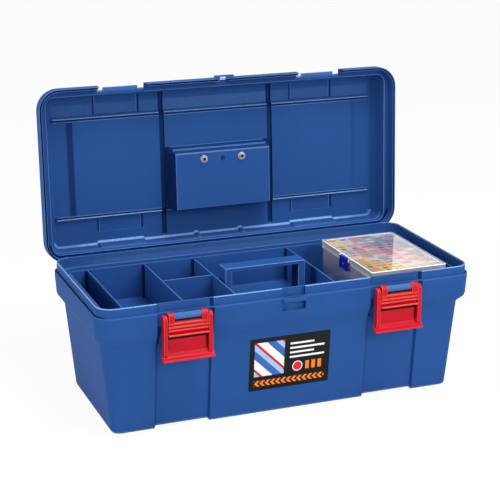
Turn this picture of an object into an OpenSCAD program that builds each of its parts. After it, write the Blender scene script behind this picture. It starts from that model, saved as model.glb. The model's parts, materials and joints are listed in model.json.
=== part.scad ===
// Plastic tool box: a drafted tub, a hinged lid with a folding handle, two swing latches,
// a lift-out tray with loose dividers and a clear parts case standing in the tray.
// Millimetres, +Z up, front towards -Y, origin on the floor under the middle of the tub.
// The lid is drawn open on its stop, and the latches hang down.

/* [Tub] */
// Length over the standing lip
lip_l = 510; // [500:1:530]
// Depth over the standing lip
lip_d = 228; // [224:1:236]
// Height of the lip's top edge
lip_z = 174; // [172:0.5:176]
// Height of the ledge that the closed lid sits on
ledge_z = 162; // [161:0.5:162]
// Corner radius of the lip in plan
lip_r = 20; // [20:0.5:24]
// Inset of the bottom edge from the lip
base_inset = 18.5; // [17:0.5:19]
// Corner radius of the bottom edge in plan
foot_r = 11.5; // [10:0.5:13]
// Wall thickness
wall = 3; // [2.6:0.1:3.2]
// Reach of the collar past the lip
collar_out = 3; // [2:0.5:3]
// Height of the collar's lower edge
collar_z = 128; // [124:1:132]
// Rounding under the collar
collar_round = 8; // [5:0.5:8]

/* [Lid] */
// Opening angle at the stop
lid_open = 93; // [0:1:93]
// Height of the top's sunk panel over the rim
lid_h = 42; // [41:0.5:45]
// Height of the upright skirt
skirt_h = 12.5; // [12.5:0.5:14]
// Reach of the skirt's ends past the lip
lid_over = 7; // [6.5:0.5:8]
// Height of the handle pocket's inner face over the rim
pocket_h = 14.4; // [14:0.2:16]
// Half width of the handle pocket
pocket_w = 69.7; // [69:0.1:72]

/* [Latches] */
// Distance of each latch from the middle
latch_x = 145; // [140:1:150]
// Width over a latch's side rails
latch_w = 64; // [62:0.5:64]
// Depth of the latch channels in the front wall
channel_deep = 3.5; // [2:0.5:3.5]
// Width of a latch channel
channel_w = 72; // [70:1:76]

/* [Handle] */
// Distance from the handle's pivot to its grip
handle_reach = 53.5; // [50:0.5:54]
// Radius of the grip
grip_r = 9.5; // [8:0.25:9.5]

/* [Tray] */
// Height of the tray's rim over the floor
tray_top = 158.3; // [154:0.1:159]
// Height of the tray's underside
tray_z = 107; // [100:1:110]
// Tray and divider wall
tray_wall = 2; // [1.6:0.1:2.2]
// Height of the top of the tray's handle
tray_grip_z = 173.5; // [168:0.5:173.5]

/* [Parts case] */
// Case length from front to back
case_d = 162; // [150:1:162]
// Case width
case_w = 110; // [100:1:110]
// Height of the case's top
case_top = 174; // [170:0.5:175]
// Case wall
case_wall = 1.6; // [1.2:0.1:2]

/* [Hidden] */
$fn = 64;

blue = [0.13, 0.27, 0.55];
tray_blue = [0.11, 0.24, 0.50];
red = [0.80, 0.09, 0.12];
steel = [0.75, 0.76, 0.78];
clear = [0.86, 0.88, 0.88, 0.4];
clip_blue = [0.13, 0.13, 0.62];
label_black = [0.06, 0.06, 0.07];
card_yellow = [0.93, 0.72, 0.36];

// Clearances: past a cut face, between bodies that pass each other, and round a turning pin
past = 0.1;
gap = 0.4;
fixed_fit = 0.02;
turn_fit = 0.05;

// Plan of the tub: corner centres, and the wall's distance from them at each height
core_x = lip_l / 2 - base_inset - foot_r;
core_y = lip_d / 2 - base_inset - foot_r;
draft = 0.1;
foot_edge = 2.5;
lip_x = lip_l / 2 - lip_r;
lip_y = lip_d / 2 - lip_r;
lip_step = 2;
collar_r = lip_r + collar_out;
collar_lean = 2;
front_y = -lip_d / 2;
rear_y = lip_d / 2;
function wall_r(z) = foot_r + draft * z;
function wall_y(z) = core_y + wall_r(z);

tub_wall = [
    [0, 0], [foot_r - foot_edge, 0], [wall_r(foot_edge), foot_edge],
    [wall_r(ledge_z), ledge_z], [0, ledge_z]
];
tub_inside = [
    [0, wall], [wall_r(wall) - wall, wall], [wall_r(ledge_z) - wall, ledge_z], [0, ledge_z]
];
lip_wall = [
    [0, ledge_z - lip_step], [lip_r, ledge_z - lip_step], [lip_r, lip_z], [0, lip_z]
];
lip_inside = [
    [0, ledge_z - lip_step], [lip_r - wall, ledge_z - lip_step],
    [lip_r - wall, lip_z + 1], [0, lip_z + 1]
];
collar_wall = concat(
    [[0, collar_z]],
    [for (a = [0:30:90])
        [collar_r - collar_lean - collar_round + collar_round * sin(a),
         collar_z + collar_round - collar_round * cos(a)]],
    [[collar_r, ledge_z - 4], [collar_r, ledge_z], [0, ledge_z]]
);

// Channels for the latches
channel_floor = 2.5;
channel_bend = collar_z - 4;
channel_skin = 2.2;

// Padlock eye: a shelf on the tub and a bar on the lid with one slot through both
eye_half = 14;
shelf_half = 16.5;
eye_slot_x = 6.5;
eye_slot_y = [front_y - 6.2, front_y - 0.7];
eye_front = front_y - 8.5;
eye_shelf_z = 157;

// Lid hinge
hinge_y = rear_y + 6.5;
hinge_z = ledge_z - 1.7;
hinge_x = latch_x;
knuckle_r = 5.2;
hinge_pin_r = 1.6;
hinge_half = 30;
tub_knuckle = 12;

// Lid, drawn closed: a skirt and flange, and on them a raised top with a sunk panel
lid_z = ledge_z + 0.5;
lid_x = lip_l / 2 + lid_over;
lid_front = front_y - 4.5;
lid_rear = rear_y + 4;
lid_corner = 29;
top_x = [lid_x - 9.5, lid_x - 13, lid_x - 19];
top_y = [lid_front + 9.5, lid_rear - 5.5];
top_lean = [1.5, 2.5];
top_corner = 14;
top_h = lid_h + 3.5;
top_chamfer = 11.5;
panel_x = 208;
panel_y = [lid_front + 46.3, lid_rear - 49.8];
panel_slope = 2.3;
groove_x = 80.6;
groove_half = 3;
groove_deep = 2.5;

// Handle pocket in the lid, and the pivot of the handle
pocket_y = [-15, 65];
pocket_slope = 7.7;
pocket_floor = lid_z + pocket_h;
pivot_y = -5.5;
pivot_z = pocket_floor + 12.6;
axle_r = 3;
bracket_half = 46;
arm_in = 48;
arm_out = 60;
arm_half = 6;
heel_r = 7.5;
screw_x = 28;
screw_r = 2;
screw_top = pivot_z - axle_r - 0.6;
head_h = 1.8;
washer_h = 0.8;

// Latch, drawn hanging
latch_y = front_y - 7;
latch_z = ledge_z - 4;
latch_pin_r = 1.5;
barrel_half = 17.5;
barrel_r = 4.2;
ear_in = 18;
ear_out = 25.5;
ear_r = 5;
rail_in = 27;
rail_out = latch_w / 2;
plate_y = [latch_y + 1, latch_y + 3.5];
catch_z = lid_z + 15;
catch_h = 2.5;
catch_y = front_y - 1.3;
catch_half = 24.5;
hook_h = 4.2;
hook_z = 2 * latch_z - catch_z - catch_h - hook_h - 0.2;
hook_reach = 7.5;

// Tray
tray_l = lip_l - 30;
tray_d = lip_d - 29;
tray_in_z = tray_z + tray_wall;
tray_r = 10;
divider_x = [-212, -132, -60.5, 79];
cross_y = 20;
slot_rib = 2;
slot_deep = 1.6;
slot_gap = 0.25;
divider_top = tray_top - 1.2;
grip_x = 2.5;
grip_half = 57;
grip_y = 12;
grip_post = 9.5;
grip_bar = 5;

// Parts case
case_x = tray_l / 2 - tray_wall - case_w - 10;
case_y = 2.5 - tray_d / 2;
case_z = tray_in_z + 0.2;
case_split = case_top - 8.5;
case_r = 3;
case_pin_r = 0.8;
case_knuckle_r = 2.2;
case_hinge_x = case_x + case_w + 2.5;
case_knuckle = 10;
case_hinge_y = [case_y + 0.25 * case_d, case_y + 0.75 * case_d];
clip_y = -17;
clip_pin_r = 1;
clip_half = 13;
lug_out = 16;
clip_x = case_x - 1.8;
clip_z = case_top - 3;
clip_thick = 2.5;
hasp_z = case_split - 6.5;
hasp_half = 11;
card_h = 0.5;

// Rounded box whose side wall follows a list of [distance from the corner centre, height]
module swept_box(cx, cy, outline) {
    for (sx = [-1, 1], sy = [-1, 1])
        translate([sx * cx, sy * cy, 0])
            rotate_extrude()
                polygon(outline);
    along_y(2 * cy)
        polygon(both_sides(cx, outline));
    along_x(2 * cx)
        polygon(both_sides(cy, outline));
}

function both_sides(c, outline) = concat(
    [for (p = outline) [c + p[0], p[1]]],
    [for (i = [len(outline) - 1:-1:0]) [-c - outline[i][0], outline[i][1]]]
);

// Extrudes an XZ outline along Y, or a YZ outline along X, centred
module along_y(length)
    rotate([90, 0, 0])
        linear_extrude(length, center = true)
            children();

module along_x(length)
    rotate([90, 0, 90])
        linear_extrude(length, center = true)
            children();

// Block between two corners
module block(low, high)
    translate(low)
        cube(high - low);

// Round bar along X or Y
module bar_x(x0, x1, y, z, r)
    translate([x0, y, z])
        rotate([0, 90, 0])
            cylinder(h = x1 - x0, r = r);

module bar_y(y0, y1, x, z, r)
    translate([x, y1, z])
        rotate([90, 0, 0])
            cylinder(h = y1 - y0, r = r);

// Upright box with rounded corners, between two corners
module round_block(low, high, r)
    translate([0, 0, low[2]])
        linear_extrude(high[2] - low[2])
            round_plan(low, high, r);

module round_plan(low, high, r) {
    translate([low[0] + r, low[1]])
        square([high[0] - low[0] - 2 * r, high[1] - low[1]]);
    translate([low[0], low[1] + r])
        square([high[0] - low[0], high[1] - low[1] - 2 * r]);
    for (x = [low[0] + r, high[0] - r], y = [low[1] + r, high[1] - r])
        translate([x, y])
            circle(r);
}

// Puts what is drawn closed where it is with the lid open
module with_lid()
    translate([0, hinge_y, hinge_z])
        rotate([-lid_open, 0, 0])
            translate([0, -hinge_y, -hinge_z])
                children();

// Tub

module channel_cut(side)
    translate([side * latch_x, 0, 0]) {
        along_x(channel_w)
            polygon([
                [2 * front_y, -1], [channel_deep - wall_y(-1), -1],
                [channel_deep - wall_y(channel_bend), channel_bend],
                [front_y, collar_z + 6], [front_y, ledge_z + past], [2 * front_y, ledge_z + past]
            ]);
        block([-channel_w / 2, front_y, -1], [channel_w / 2, -front_y, channel_floor]);
    }

module channel_back(side)
    translate([side * latch_x, 0, 0]) {
        along_x(channel_w + 2 * wall)
            polygon([
                [2 * front_y, 0], [channel_deep + channel_skin - wall_y(0), 0],
                [channel_deep + channel_skin - wall_y(channel_bend), channel_bend],
                [front_y + channel_skin, collar_z + 10], [2 * front_y, collar_z + 10]
            ]);
        block([-channel_w / 2 - wall, front_y, 0],
              [channel_w / 2 + wall, -front_y, channel_floor + wall]);
    }

// Upright ribs at the ends carry the tray
module tray_ribs()
    for (side = [-1, 1], y = [-60, 0, 60])
        translate([0, y, 0])
            along_y(wall)
                polygon([
                    [side * (core_x + 6), wall - past],
                    [side * (core_x + wall_r(wall) - 1), wall - past],
                    [side * (core_x + wall_r(tray_z) - 1), tray_z],
                    [side * (core_x + 6), tray_z]
                ]);

module hinge_recess(side)
    block([side * hinge_x - hinge_half - 1, rear_y + 0.6, ledge_z - 13],
          [side * hinge_x + hinge_half + 1, 2 * hinge_y, ledge_z + past]);

module tub_knuckles(side)
    translate([side * hinge_x, 0, 0]) {
        bar_x(-tub_knuckle, tub_knuckle, hinge_y, hinge_z, knuckle_r);
        block([-tub_knuckle, rear_y - 1, hinge_z - 8],
              [tub_knuckle, hinge_y, hinge_z]);
        block([-tub_knuckle, hinge_y - 1, hinge_z - 8],
              [tub_knuckle, hinge_y + 10.5, hinge_z - knuckle_r + 1]);
        block([-tub_knuckle, hinge_y + 6, hinge_z - 8],
              [tub_knuckle, hinge_y + 10.5, hinge_z + 1.6]);
    }

module latch_barrel(side)
    translate([side * latch_x, 0, 0]) {
        bar_x(-barrel_half, barrel_half, latch_y, latch_z, barrel_r);
        block([-barrel_half, latch_y, latch_z - 3], [barrel_half, front_y + 1, latch_z + 3]);
    }

module tub_pieces(side) {
    latch_barrel(side);
    tub_knuckles(side);
}

module eye_slot(z0, z1)
    block([-eye_slot_x, eye_slot_y[0], z0], [eye_slot_x, eye_slot_y[1], z1]);

module tub()
    color(blue)
        difference() {
            union() {
                difference() {
                    union() {
                        swept_box(core_x, core_y, tub_wall);
                        swept_box(lip_x, lip_y, collar_wall);
                        swept_box(lip_x, lip_y, lip_wall);
                    }
                    difference() {
                        swept_box(core_x, core_y, tub_inside);
                        for (side = [-1, 1])
                            channel_back(side);
                        tray_ribs();
                    }
                    swept_box(lip_x, lip_y, lip_inside);
                    for (side = [-1, 1]) {
                        channel_cut(side);
                        hinge_recess(side);
                    }
                    block([-eye_half, 2 * front_y, collar_z - 1],
                          [eye_half, front_y - 0.6, eye_shelf_z]);
                }
                for (side = [-1, 1])
                    tub_pieces(side);
                block([-shelf_half, eye_front, eye_shelf_z],
                      [shelf_half, front_y + 1, ledge_z - 0.2]);
            }
            for (side = [-1, 1])
                translate([side * latch_x, 0, 0]) {
                    bar_x(-barrel_half - 1, barrel_half + 1, latch_y, latch_z, latch_pin_r + fixed_fit);
                    bar_x(-tub_knuckle - 1, tub_knuckle + 1, hinge_y, hinge_z, hinge_pin_r + fixed_fit);
                }
            eye_slot(eye_shelf_z - 1, ledge_z + 1);
        }

label_w = 112;
label_h = 74;
label_z = 70;
label_thick = 0.4;

module front_label()
    color(label_black)
        translate([0, -wall_y(label_z), label_z])
            rotate([atan(draft), 0, 0])
                block([-label_w / 2, -label_thick, -label_h / 2], [label_w / 2, 0, label_h / 2]);

module hinge_pin(side)
    color(steel)
        bar_x(side * hinge_x - hinge_half, side * hinge_x + hinge_half, hinge_y, hinge_z, hinge_pin_r);

module latch_pin(side)
    color(steel)
        bar_x(side * latch_x - ear_out, side * latch_x + ear_out, latch_y, latch_z, latch_pin_r);

// Lid

function top_section(inset) = [
    [top_y[0] + inset, lid_z + skirt_h - 1], [top_y[0] + inset, lid_z + skirt_h],
    [top_y[0] + top_lean[0] + inset, lid_z + top_h - inset],
    [top_y[1] - top_lean[1] - inset, lid_z + top_h - inset],
    [top_y[1] - inset, lid_z + skirt_h], [top_y[1] - inset, lid_z + skirt_h - 1]
];

function top_length(inset) = let (
    half = [
        [top_x[0] - inset, lid_z + skirt_h - 1], [top_x[0] - inset, lid_z + skirt_h],
        [top_x[1] - inset, lid_z + top_h - top_chamfer - 0.6 * inset],
        [top_x[2] - 0.87 * inset, lid_z + top_h - inset]
    ])
    concat(half, [for (i = [len(half) - 1:-1:0]) [-half[i][0], half[i][1]]]);

module lid_form(inset) {
    round_block([inset - lid_x, lid_front + inset, lid_z - (inset > 0 ? 1 : 0)],
                [lid_x - inset, lid_rear - inset, lid_z + skirt_h + (inset > 0 ? 0 : wall)],
                lid_corner - inset);
    intersection() {
        along_x(2 * lid_x)
            polygon(top_section(inset));
        along_y(4 * lid_rear)
            polygon(top_length(inset));
        round_block([inset - top_x[0], top_y[0] + inset, lid_z],
                    [top_x[0] - inset, top_y[1] - inset, lid_z + top_h + 1], top_corner - inset);
    }
}

// The panel's hollow outside, or with an inset the panel that stands out inside
module sunk_panel(inset, low, high) {
    y = [panel_y[0] + wall - inset, panel_y[1] - wall + inset];
    half = panel_x + (inset - wall) / 2;
    lean = panel_slope * (high - low);
    translate([0, (y[0] + y[1]) / 2, lid_z])
        along_y(y[1] - y[0])
            polygon([[-half, low], [half, low], [half + lean, high], [-half - lean, high]]);
}

// Cross grooves inside the panel, and the ribs over them outside
module cross_bars(half, low, high)
    for (side = [-1, 1])
        block([side * groove_x - half, 2 * lid_front, lid_z + low],
              [side * groove_x + half, 2 * lid_rear, lid_z + high]);

module panel_outside()
    difference() {
        sunk_panel(0, lid_h, top_h + 1);
        cross_bars(groove_half + 2, lid_h - 1, lid_h + groove_deep);
    }

module panel_inside()
    difference() {
        sunk_panel(wall, lid_h - wall, top_h - 1);
        cross_bars(groove_half, lid_h - wall - 1, lid_h - wall + groove_deep);
    }

module pocket(half, inset, top)
    along_x(2 * half)
        polygon([
            [pocket_y[0] - pocket_slope + inset, top], [pocket_y[0] + inset, pocket_floor + inset],
            [pocket_y[1] - inset, pocket_floor + inset], [pocket_y[1] - inset + 1, top]
        ]);

module lid_knuckles(side)
    for (end = [-1, 1])
        translate([side * hinge_x + end * (tub_knuckle + gap + hinge_half - 0.5) / 2, 0, 0]) {
            half = (hinge_half - 0.5 - tub_knuckle - gap) / 2;
            bar_x(-half, half, hinge_y, hinge_z, knuckle_r);
            block([-half, lid_rear - wall, lid_z], [half, hinge_y, lid_z + 5.5]);
        }

module lid_cuts(side)
    translate([side * latch_x, 0, 0]) {
        block([-tub_knuckle - gap - 0.1, lid_rear - wall - 1, lid_z - 1],
              [tub_knuckle + gap + 0.1, 2 * lid_rear, hinge_z + 7]);
        bar_x(-hinge_half - 1, hinge_half + 1, hinge_y, hinge_z, hinge_pin_r + turn_fit);
    }

module latch_cut(side)
    translate([side * latch_x, 0, 0])
        block([-rail_out - 0.5, 2 * lid_front, lid_z - 1],
              [rail_out + 0.5, top_y[0] - 0.5, lid_z + skirt_h + wall + past]);

module lid_catch(side)
    translate([side * latch_x, 0, 0])
        block([-catch_half, catch_y, catch_z], [catch_half, catch_y + 7, catch_z + catch_h]);

module lid_closed()
    difference() {
        union() {
            difference() {
                lid_form(0);
                difference() {
                    lid_form(wall);
                    panel_inside();
                    pocket(pocket_w, 0, lid_z + lid_h - 1);
                }
                panel_outside();
                pocket(pocket_w - wall, wall, lid_z + lid_h + 1);
                for (side = [-1, 1])
                    latch_cut(side);
            }
            for (side = [-1, 1]) {
                lid_knuckles(side);
                lid_catch(side);
            }
            block([-eye_half, eye_front, lid_z], [eye_half, lid_front + wall, lid_z + 4.5]);
        }
        for (side = [-1, 1])
            lid_cuts(side);
        eye_slot(lid_z - 1, lid_z + skirt_h + wall + 1);
        for (side = [-1, 1])
            translate([side * screw_x, pivot_y, pocket_floor - 1])
                cylinder(h = wall + 2, r = screw_r + 0.2);
    }

module lid()
    color(blue)
        with_lid()
            lid_closed();

// Handle and what holds it

module handle_bracket()
    color(blue)
        with_lid()
            difference() {
                block([-bracket_half, pivot_y - 6, pocket_floor + wall],
                      [bracket_half, pivot_y + 6, pivot_z + 6.5]);
                bar_x(-bracket_half - 1, bracket_half + 1, pivot_y, pivot_z, axle_r + fixed_fit);
                for (side = [-1, 1])
                    translate([side * screw_x, pivot_y, pocket_floor])
                        cylinder(h = screw_top - pocket_floor + 0.2, r = screw_r + fixed_fit);
            }

module handle_axle()
    color(steel)
        with_lid()
            bar_x(-arm_out, arm_out, pivot_y, pivot_z, axle_r);

module handle_screws()
    color(steel)
        with_lid()
            for (side = [-1, 1])
                translate([side * screw_x, pivot_y, 0])
                    difference() {
                        union() {
                            translate([0, 0, pocket_floor - washer_h - head_h])
                                cylinder(h = head_h, r = 3.8);
                            translate([0, 0, pocket_floor - washer_h])
                                cylinder(h = screw_top - pocket_floor + washer_h, r = screw_r);
                        }
                        for (turn = [0, 90])
                            rotate(turn)
                                block([-2.2, -0.45, pocket_floor - washer_h - head_h - 1],
                                      [2.2, 0.45, pocket_floor - washer_h - head_h + 1]);
                    }

module handle_washers()
    color(steel)
        with_lid()
            for (side = [-1, 1])
                translate([side * screw_x, pivot_y, pocket_floor - washer_h])
                    difference() {
                        cylinder(h = washer_h, r = 5);
                        translate([0, 0, -1])
                            cylinder(h = washer_h + 2, r = screw_r + 0.1);
                    }

module carry_handle()
    color(blue)
        with_lid()
            difference() {
                union() {
                    for (side = [-1, 1])
                        translate([side * (arm_in + arm_out) / 2, 0, 0]) {
                            half = (arm_out - arm_in) / 2;
                            bar_x(-half, half, pivot_y, pivot_z, heel_r);
                            block([-half, pivot_y, pivot_z - arm_half],
                                  [half, pivot_y + handle_reach, pivot_z + arm_half]);
                        }
                    bar_x(-arm_out, arm_out, pivot_y + handle_reach, pivot_z, grip_r);
                }
                bar_x(-arm_out - 1, arm_out + 1, pivot_y, pivot_z, axle_r + turn_fit);
            }

// Latches

module latch(side)
    color(red)
        translate([side * latch_x, 0, 0])
            difference() {
                union() {
                    for (end = [-1, 1])
                        latch_side(end);
                    block([-rail_out, plate_y[0], latch_z - 56], [rail_out, plate_y[1], latch_z - 8]);
                    block([1 - rail_in, latch_y - 2.5, hook_z], [rail_in - 1, plate_y[1], latch_z - 6]);
                    latch_ridges();
                    latch_lip();
                }
                bar_x(-ear_out - 1, ear_out + 1, latch_y, latch_z, latch_pin_r + turn_fit);
            }

module latch_side(end) {
    ear = [end * ear_in, end * ear_out];
    rail = [end * rail_in, end * rail_out];
    bar_x(min(ear), max(ear), latch_y, latch_z, ear_r);
    block([min(ear), latch_y - 4, latch_z - 12], [max(ear), plate_y[1], latch_z]);
    block([min(rail), latch_y - 5, latch_z - 56], [max(rail), plate_y[1], latch_z + 2]);
}

// Two grip ridges, and below them the hook that holds the closed lid down
module latch_ridges() {
    for (z = [hook_z + 9.1, hook_z + 15.1])
        bar_x(1 - rail_in, rail_in - 1, latch_y - 2.6, z, 1.9);
    along_x(2 * (rail_in - 1))
        polygon([
            [latch_y, hook_z], [latch_y - hook_reach + 1.5, hook_z],
            [latch_y - hook_reach, hook_z + 1.5], [latch_y - hook_reach, hook_z + hook_h - 0.8],
            [latch_y - hook_reach + 0.8, hook_z + hook_h], [latch_y, hook_z + hook_h]
        ]);
}

// Finger lip, flared away from the box's front
module latch_lip()
    along_x(latch_w + 4)
        polygon([
            [plate_y[1], latch_z - 50], [latch_y - 1, latch_z - 50], [latch_y - 3.5, latch_z - 53],
            [latch_y - 8, latch_z - 55.5], [latch_y - 8, latch_z - 58], [latch_y - 3, latch_z - 57.5],
            [plate_y[1], latch_z - 54]
        ]);

// Tray

module divider_slots(x)
    for (end = [-1, 1], edge = [-1, 1])
        translate([x + edge * (tray_wall / 2 + slot_gap + slot_rib / 2), 0, 0]) {
            y = [end * (tray_d / 2 - tray_wall - slot_deep), end * (tray_d / 2 - 1)];
            block([-slot_rib / 2, min(y), tray_in_z - past], [slot_rib / 2, max(y), divider_top]);
        }

module tray()
    color(tray_blue) {
        difference() {
            round_block([-tray_l / 2, -tray_d / 2, tray_z], [tray_l / 2, tray_d / 2, tray_top], tray_r);
            round_block([tray_wall - tray_l / 2, tray_wall - tray_d / 2, tray_in_z],
                        [tray_l / 2 - tray_wall, tray_d / 2 - tray_wall, tray_top + 1],
                        tray_r - tray_wall);
        }
        for (x = divider_x)
            divider_slots(x);
        difference() {
            block([grip_x - grip_half, -grip_y, tray_in_z - past],
                  [grip_x + grip_half, grip_y, tray_grip_z]);
            block([grip_x - grip_half + grip_post, -grip_y - 1, tray_in_z - 1],
                  [grip_x + grip_half - grip_post, grip_y + 1, tray_grip_z - grip_bar]);
        }
    }

module tray_divider(x)
    color(tray_blue)
        block([x - tray_wall / 2, tray_wall + slot_gap - tray_d / 2, tray_in_z + 0.1],
              [x + tray_wall / 2, tray_d / 2 - tray_wall - slot_gap, divider_top]);

module tray_cross_divider()
    color(tray_blue)
        block([divider_x[1] + tray_wall / 2 + slot_gap, cross_y - tray_wall / 2, tray_in_z + 0.1],
              [divider_x[2] - tray_wall / 2 - slot_gap, cross_y + tray_wall / 2, divider_top]);

// Parts case

module case_shell(z0, z1, hollow_z0, hollow_z1)
    difference() {
        round_block([case_x, case_y, z0], [case_x + case_w, case_y + case_d, z1], case_r);
        round_block([case_x + case_wall, case_y + case_wall, hollow_z0],
                    [case_x + case_w - case_wall, case_y + case_d - case_wall, hollow_z1],
                    case_r - case_wall);
    }

// One half of each case hinge, on the near or the far side of its middle
module case_knuckles(half, z0, z1, r)
    for (y = case_hinge_y)
        difference() {
            union() {
                bar_y(y + min(half), y + max(half), case_hinge_x, case_split + 0.1, case_knuckle_r);
                block([case_x + case_w - 1, y + min(half), z0],
                      [case_hinge_x, y + max(half), z1]);
            }
            bar_y(y - case_knuckle - 1, y + case_knuckle + 1, case_hinge_x, case_split + 0.1, r);
        }

module case_base()
    color(clear) {
        case_shell(case_z, case_split, case_z + case_wall, case_split + 1);
        case_knuckles([-case_knuckle, -0.2], case_split - 2, case_split - 0.2, case_pin_r + fixed_fit);
        block([case_x - 1.4, clip_y - hasp_half, hasp_z], [case_x + 1, clip_y + hasp_half, hasp_z + 2]);
    }

module case_hinge_pins()
    color(steel)
        for (y = case_hinge_y)
            bar_y(y - case_knuckle, y + case_knuckle, case_hinge_x, case_split + 0.1, case_pin_r);

module case_lid()
    color(clear) {
        case_shell(case_split + 0.3, case_top, case_split, case_top - case_wall);
        case_knuckles([0.2, case_knuckle], case_split + 0.4, case_split + 2.2, case_pin_r + turn_fit);
        difference() {
            for (end = [-1, 1])
                block([clip_x - 2, clip_y + min(end * clip_half + end * 0.3, end * lug_out), clip_z - 2],
                      [case_x + 1, clip_y + max(end * clip_half + end * 0.3, end * lug_out), clip_z + 2]);
            bar_y(clip_y - lug_out - 1, clip_y + lug_out + 1, clip_x, clip_z, clip_pin_r + turn_fit);
        }
    }

module insert_card()
    color(card_yellow)
        block([case_x + case_wall + 1, case_y + case_wall + 1, case_top - case_wall - card_h],
              [case_x + case_w - case_wall - 1, case_y + case_d - case_wall - 1, case_top - case_wall]);

module case_clip()
    color(clip_blue) {
        bar_y(clip_y - lug_out, clip_y + lug_out, clip_x, clip_z, clip_pin_r);
        bar_y(clip_y - clip_half, clip_y + clip_half, clip_x, clip_z, 1.6);
        along_y_at(clip_y, 2 * clip_half)
            polygon([
                [clip_x - clip_thick, clip_z + 0.8], [clip_x - clip_thick + 0.6, clip_z + 1.4],
                [clip_x - 0.1, clip_z + 1.4], [clip_x - 0.1, hasp_z], [clip_x + 1.2, hasp_z - 0.2],
                [clip_x + 1.2, hasp_z - 1.4], [clip_x - 0.1, hasp_z - 2],
                [clip_x - clip_thick - 1.2, hasp_z - 3.4], [clip_x - clip_thick - 1.2, hasp_z - 2.4],
                [clip_x - clip_thick, hasp_z]
            ]);
    }

module along_y_at(y, length)
    translate([0, y, 0])
        along_y(length)
            children();

tub();
front_label();
hinge_pin(-1);  // hinge_pin_left
hinge_pin(1);  // hinge_pin_right
latch_pin(-1);  // latch_pin_left
latch_pin(1);  // latch_pin_right
lid();
handle_bracket();
handle_axle();
handle_screws();
handle_washers();
carry_handle();
latch(-1);  // latch_left
latch(1);  // latch_right
tray();
tray_divider(divider_x[0]);  // tray_divider_end
tray_divider(divider_x[1]);  // tray_divider_left
tray_divider(divider_x[2]);  // tray_divider_middle
tray_divider(divider_x[3]);  // tray_divider_right
tray_cross_divider();
case_base();
case_hinge_pins();
case_lid();
insert_card();
case_clip();
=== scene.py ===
import json
import math
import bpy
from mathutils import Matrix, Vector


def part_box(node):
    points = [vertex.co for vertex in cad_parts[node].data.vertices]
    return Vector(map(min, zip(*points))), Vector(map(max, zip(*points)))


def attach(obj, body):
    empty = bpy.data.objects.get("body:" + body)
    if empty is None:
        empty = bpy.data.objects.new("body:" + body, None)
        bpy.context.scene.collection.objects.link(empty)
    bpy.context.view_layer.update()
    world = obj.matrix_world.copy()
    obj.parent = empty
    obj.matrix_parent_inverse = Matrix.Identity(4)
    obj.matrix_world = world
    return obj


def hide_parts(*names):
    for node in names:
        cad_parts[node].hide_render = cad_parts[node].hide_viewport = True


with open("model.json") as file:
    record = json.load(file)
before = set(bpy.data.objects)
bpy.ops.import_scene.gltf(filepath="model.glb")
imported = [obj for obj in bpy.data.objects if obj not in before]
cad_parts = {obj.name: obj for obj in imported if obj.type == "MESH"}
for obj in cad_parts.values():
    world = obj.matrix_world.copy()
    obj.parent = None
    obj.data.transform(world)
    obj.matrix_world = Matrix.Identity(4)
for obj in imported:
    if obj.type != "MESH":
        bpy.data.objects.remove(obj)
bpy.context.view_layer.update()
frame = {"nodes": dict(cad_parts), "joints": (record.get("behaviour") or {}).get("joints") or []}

from types import SimpleNamespace

import bmesh
import bpy
import numpy as np
from mathutils import Matrix, Vector

scene = bpy.context.scene
milli = 0.001  # pieces are built in millimetres and scaled when they are finished
joints = {joint["name"]: joint for joint in frame["joints"]}


def jointPlace(name):
    return Vector(joints[name]["pos_m"]) / milli


def nodeBox(name):
    low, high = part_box(name)
    return np.array(low) / milli, np.array(high) / milli


hinge = jointPlace("lid_hinge")
openAngle = math.radians(joints["lid_hinge"]["range_deg"][0])
openLid = Matrix.Translation(hinge) @ Matrix.Rotation(openAngle, 4, "X") @ Matrix.Translation(-hinge)


# Node trees

def paired(operation):
    # an operator and its reflected form
    return (lambda self, other: self.maths(operation, self, other),
            lambda self, other: self.maths(operation, other, self))


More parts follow.
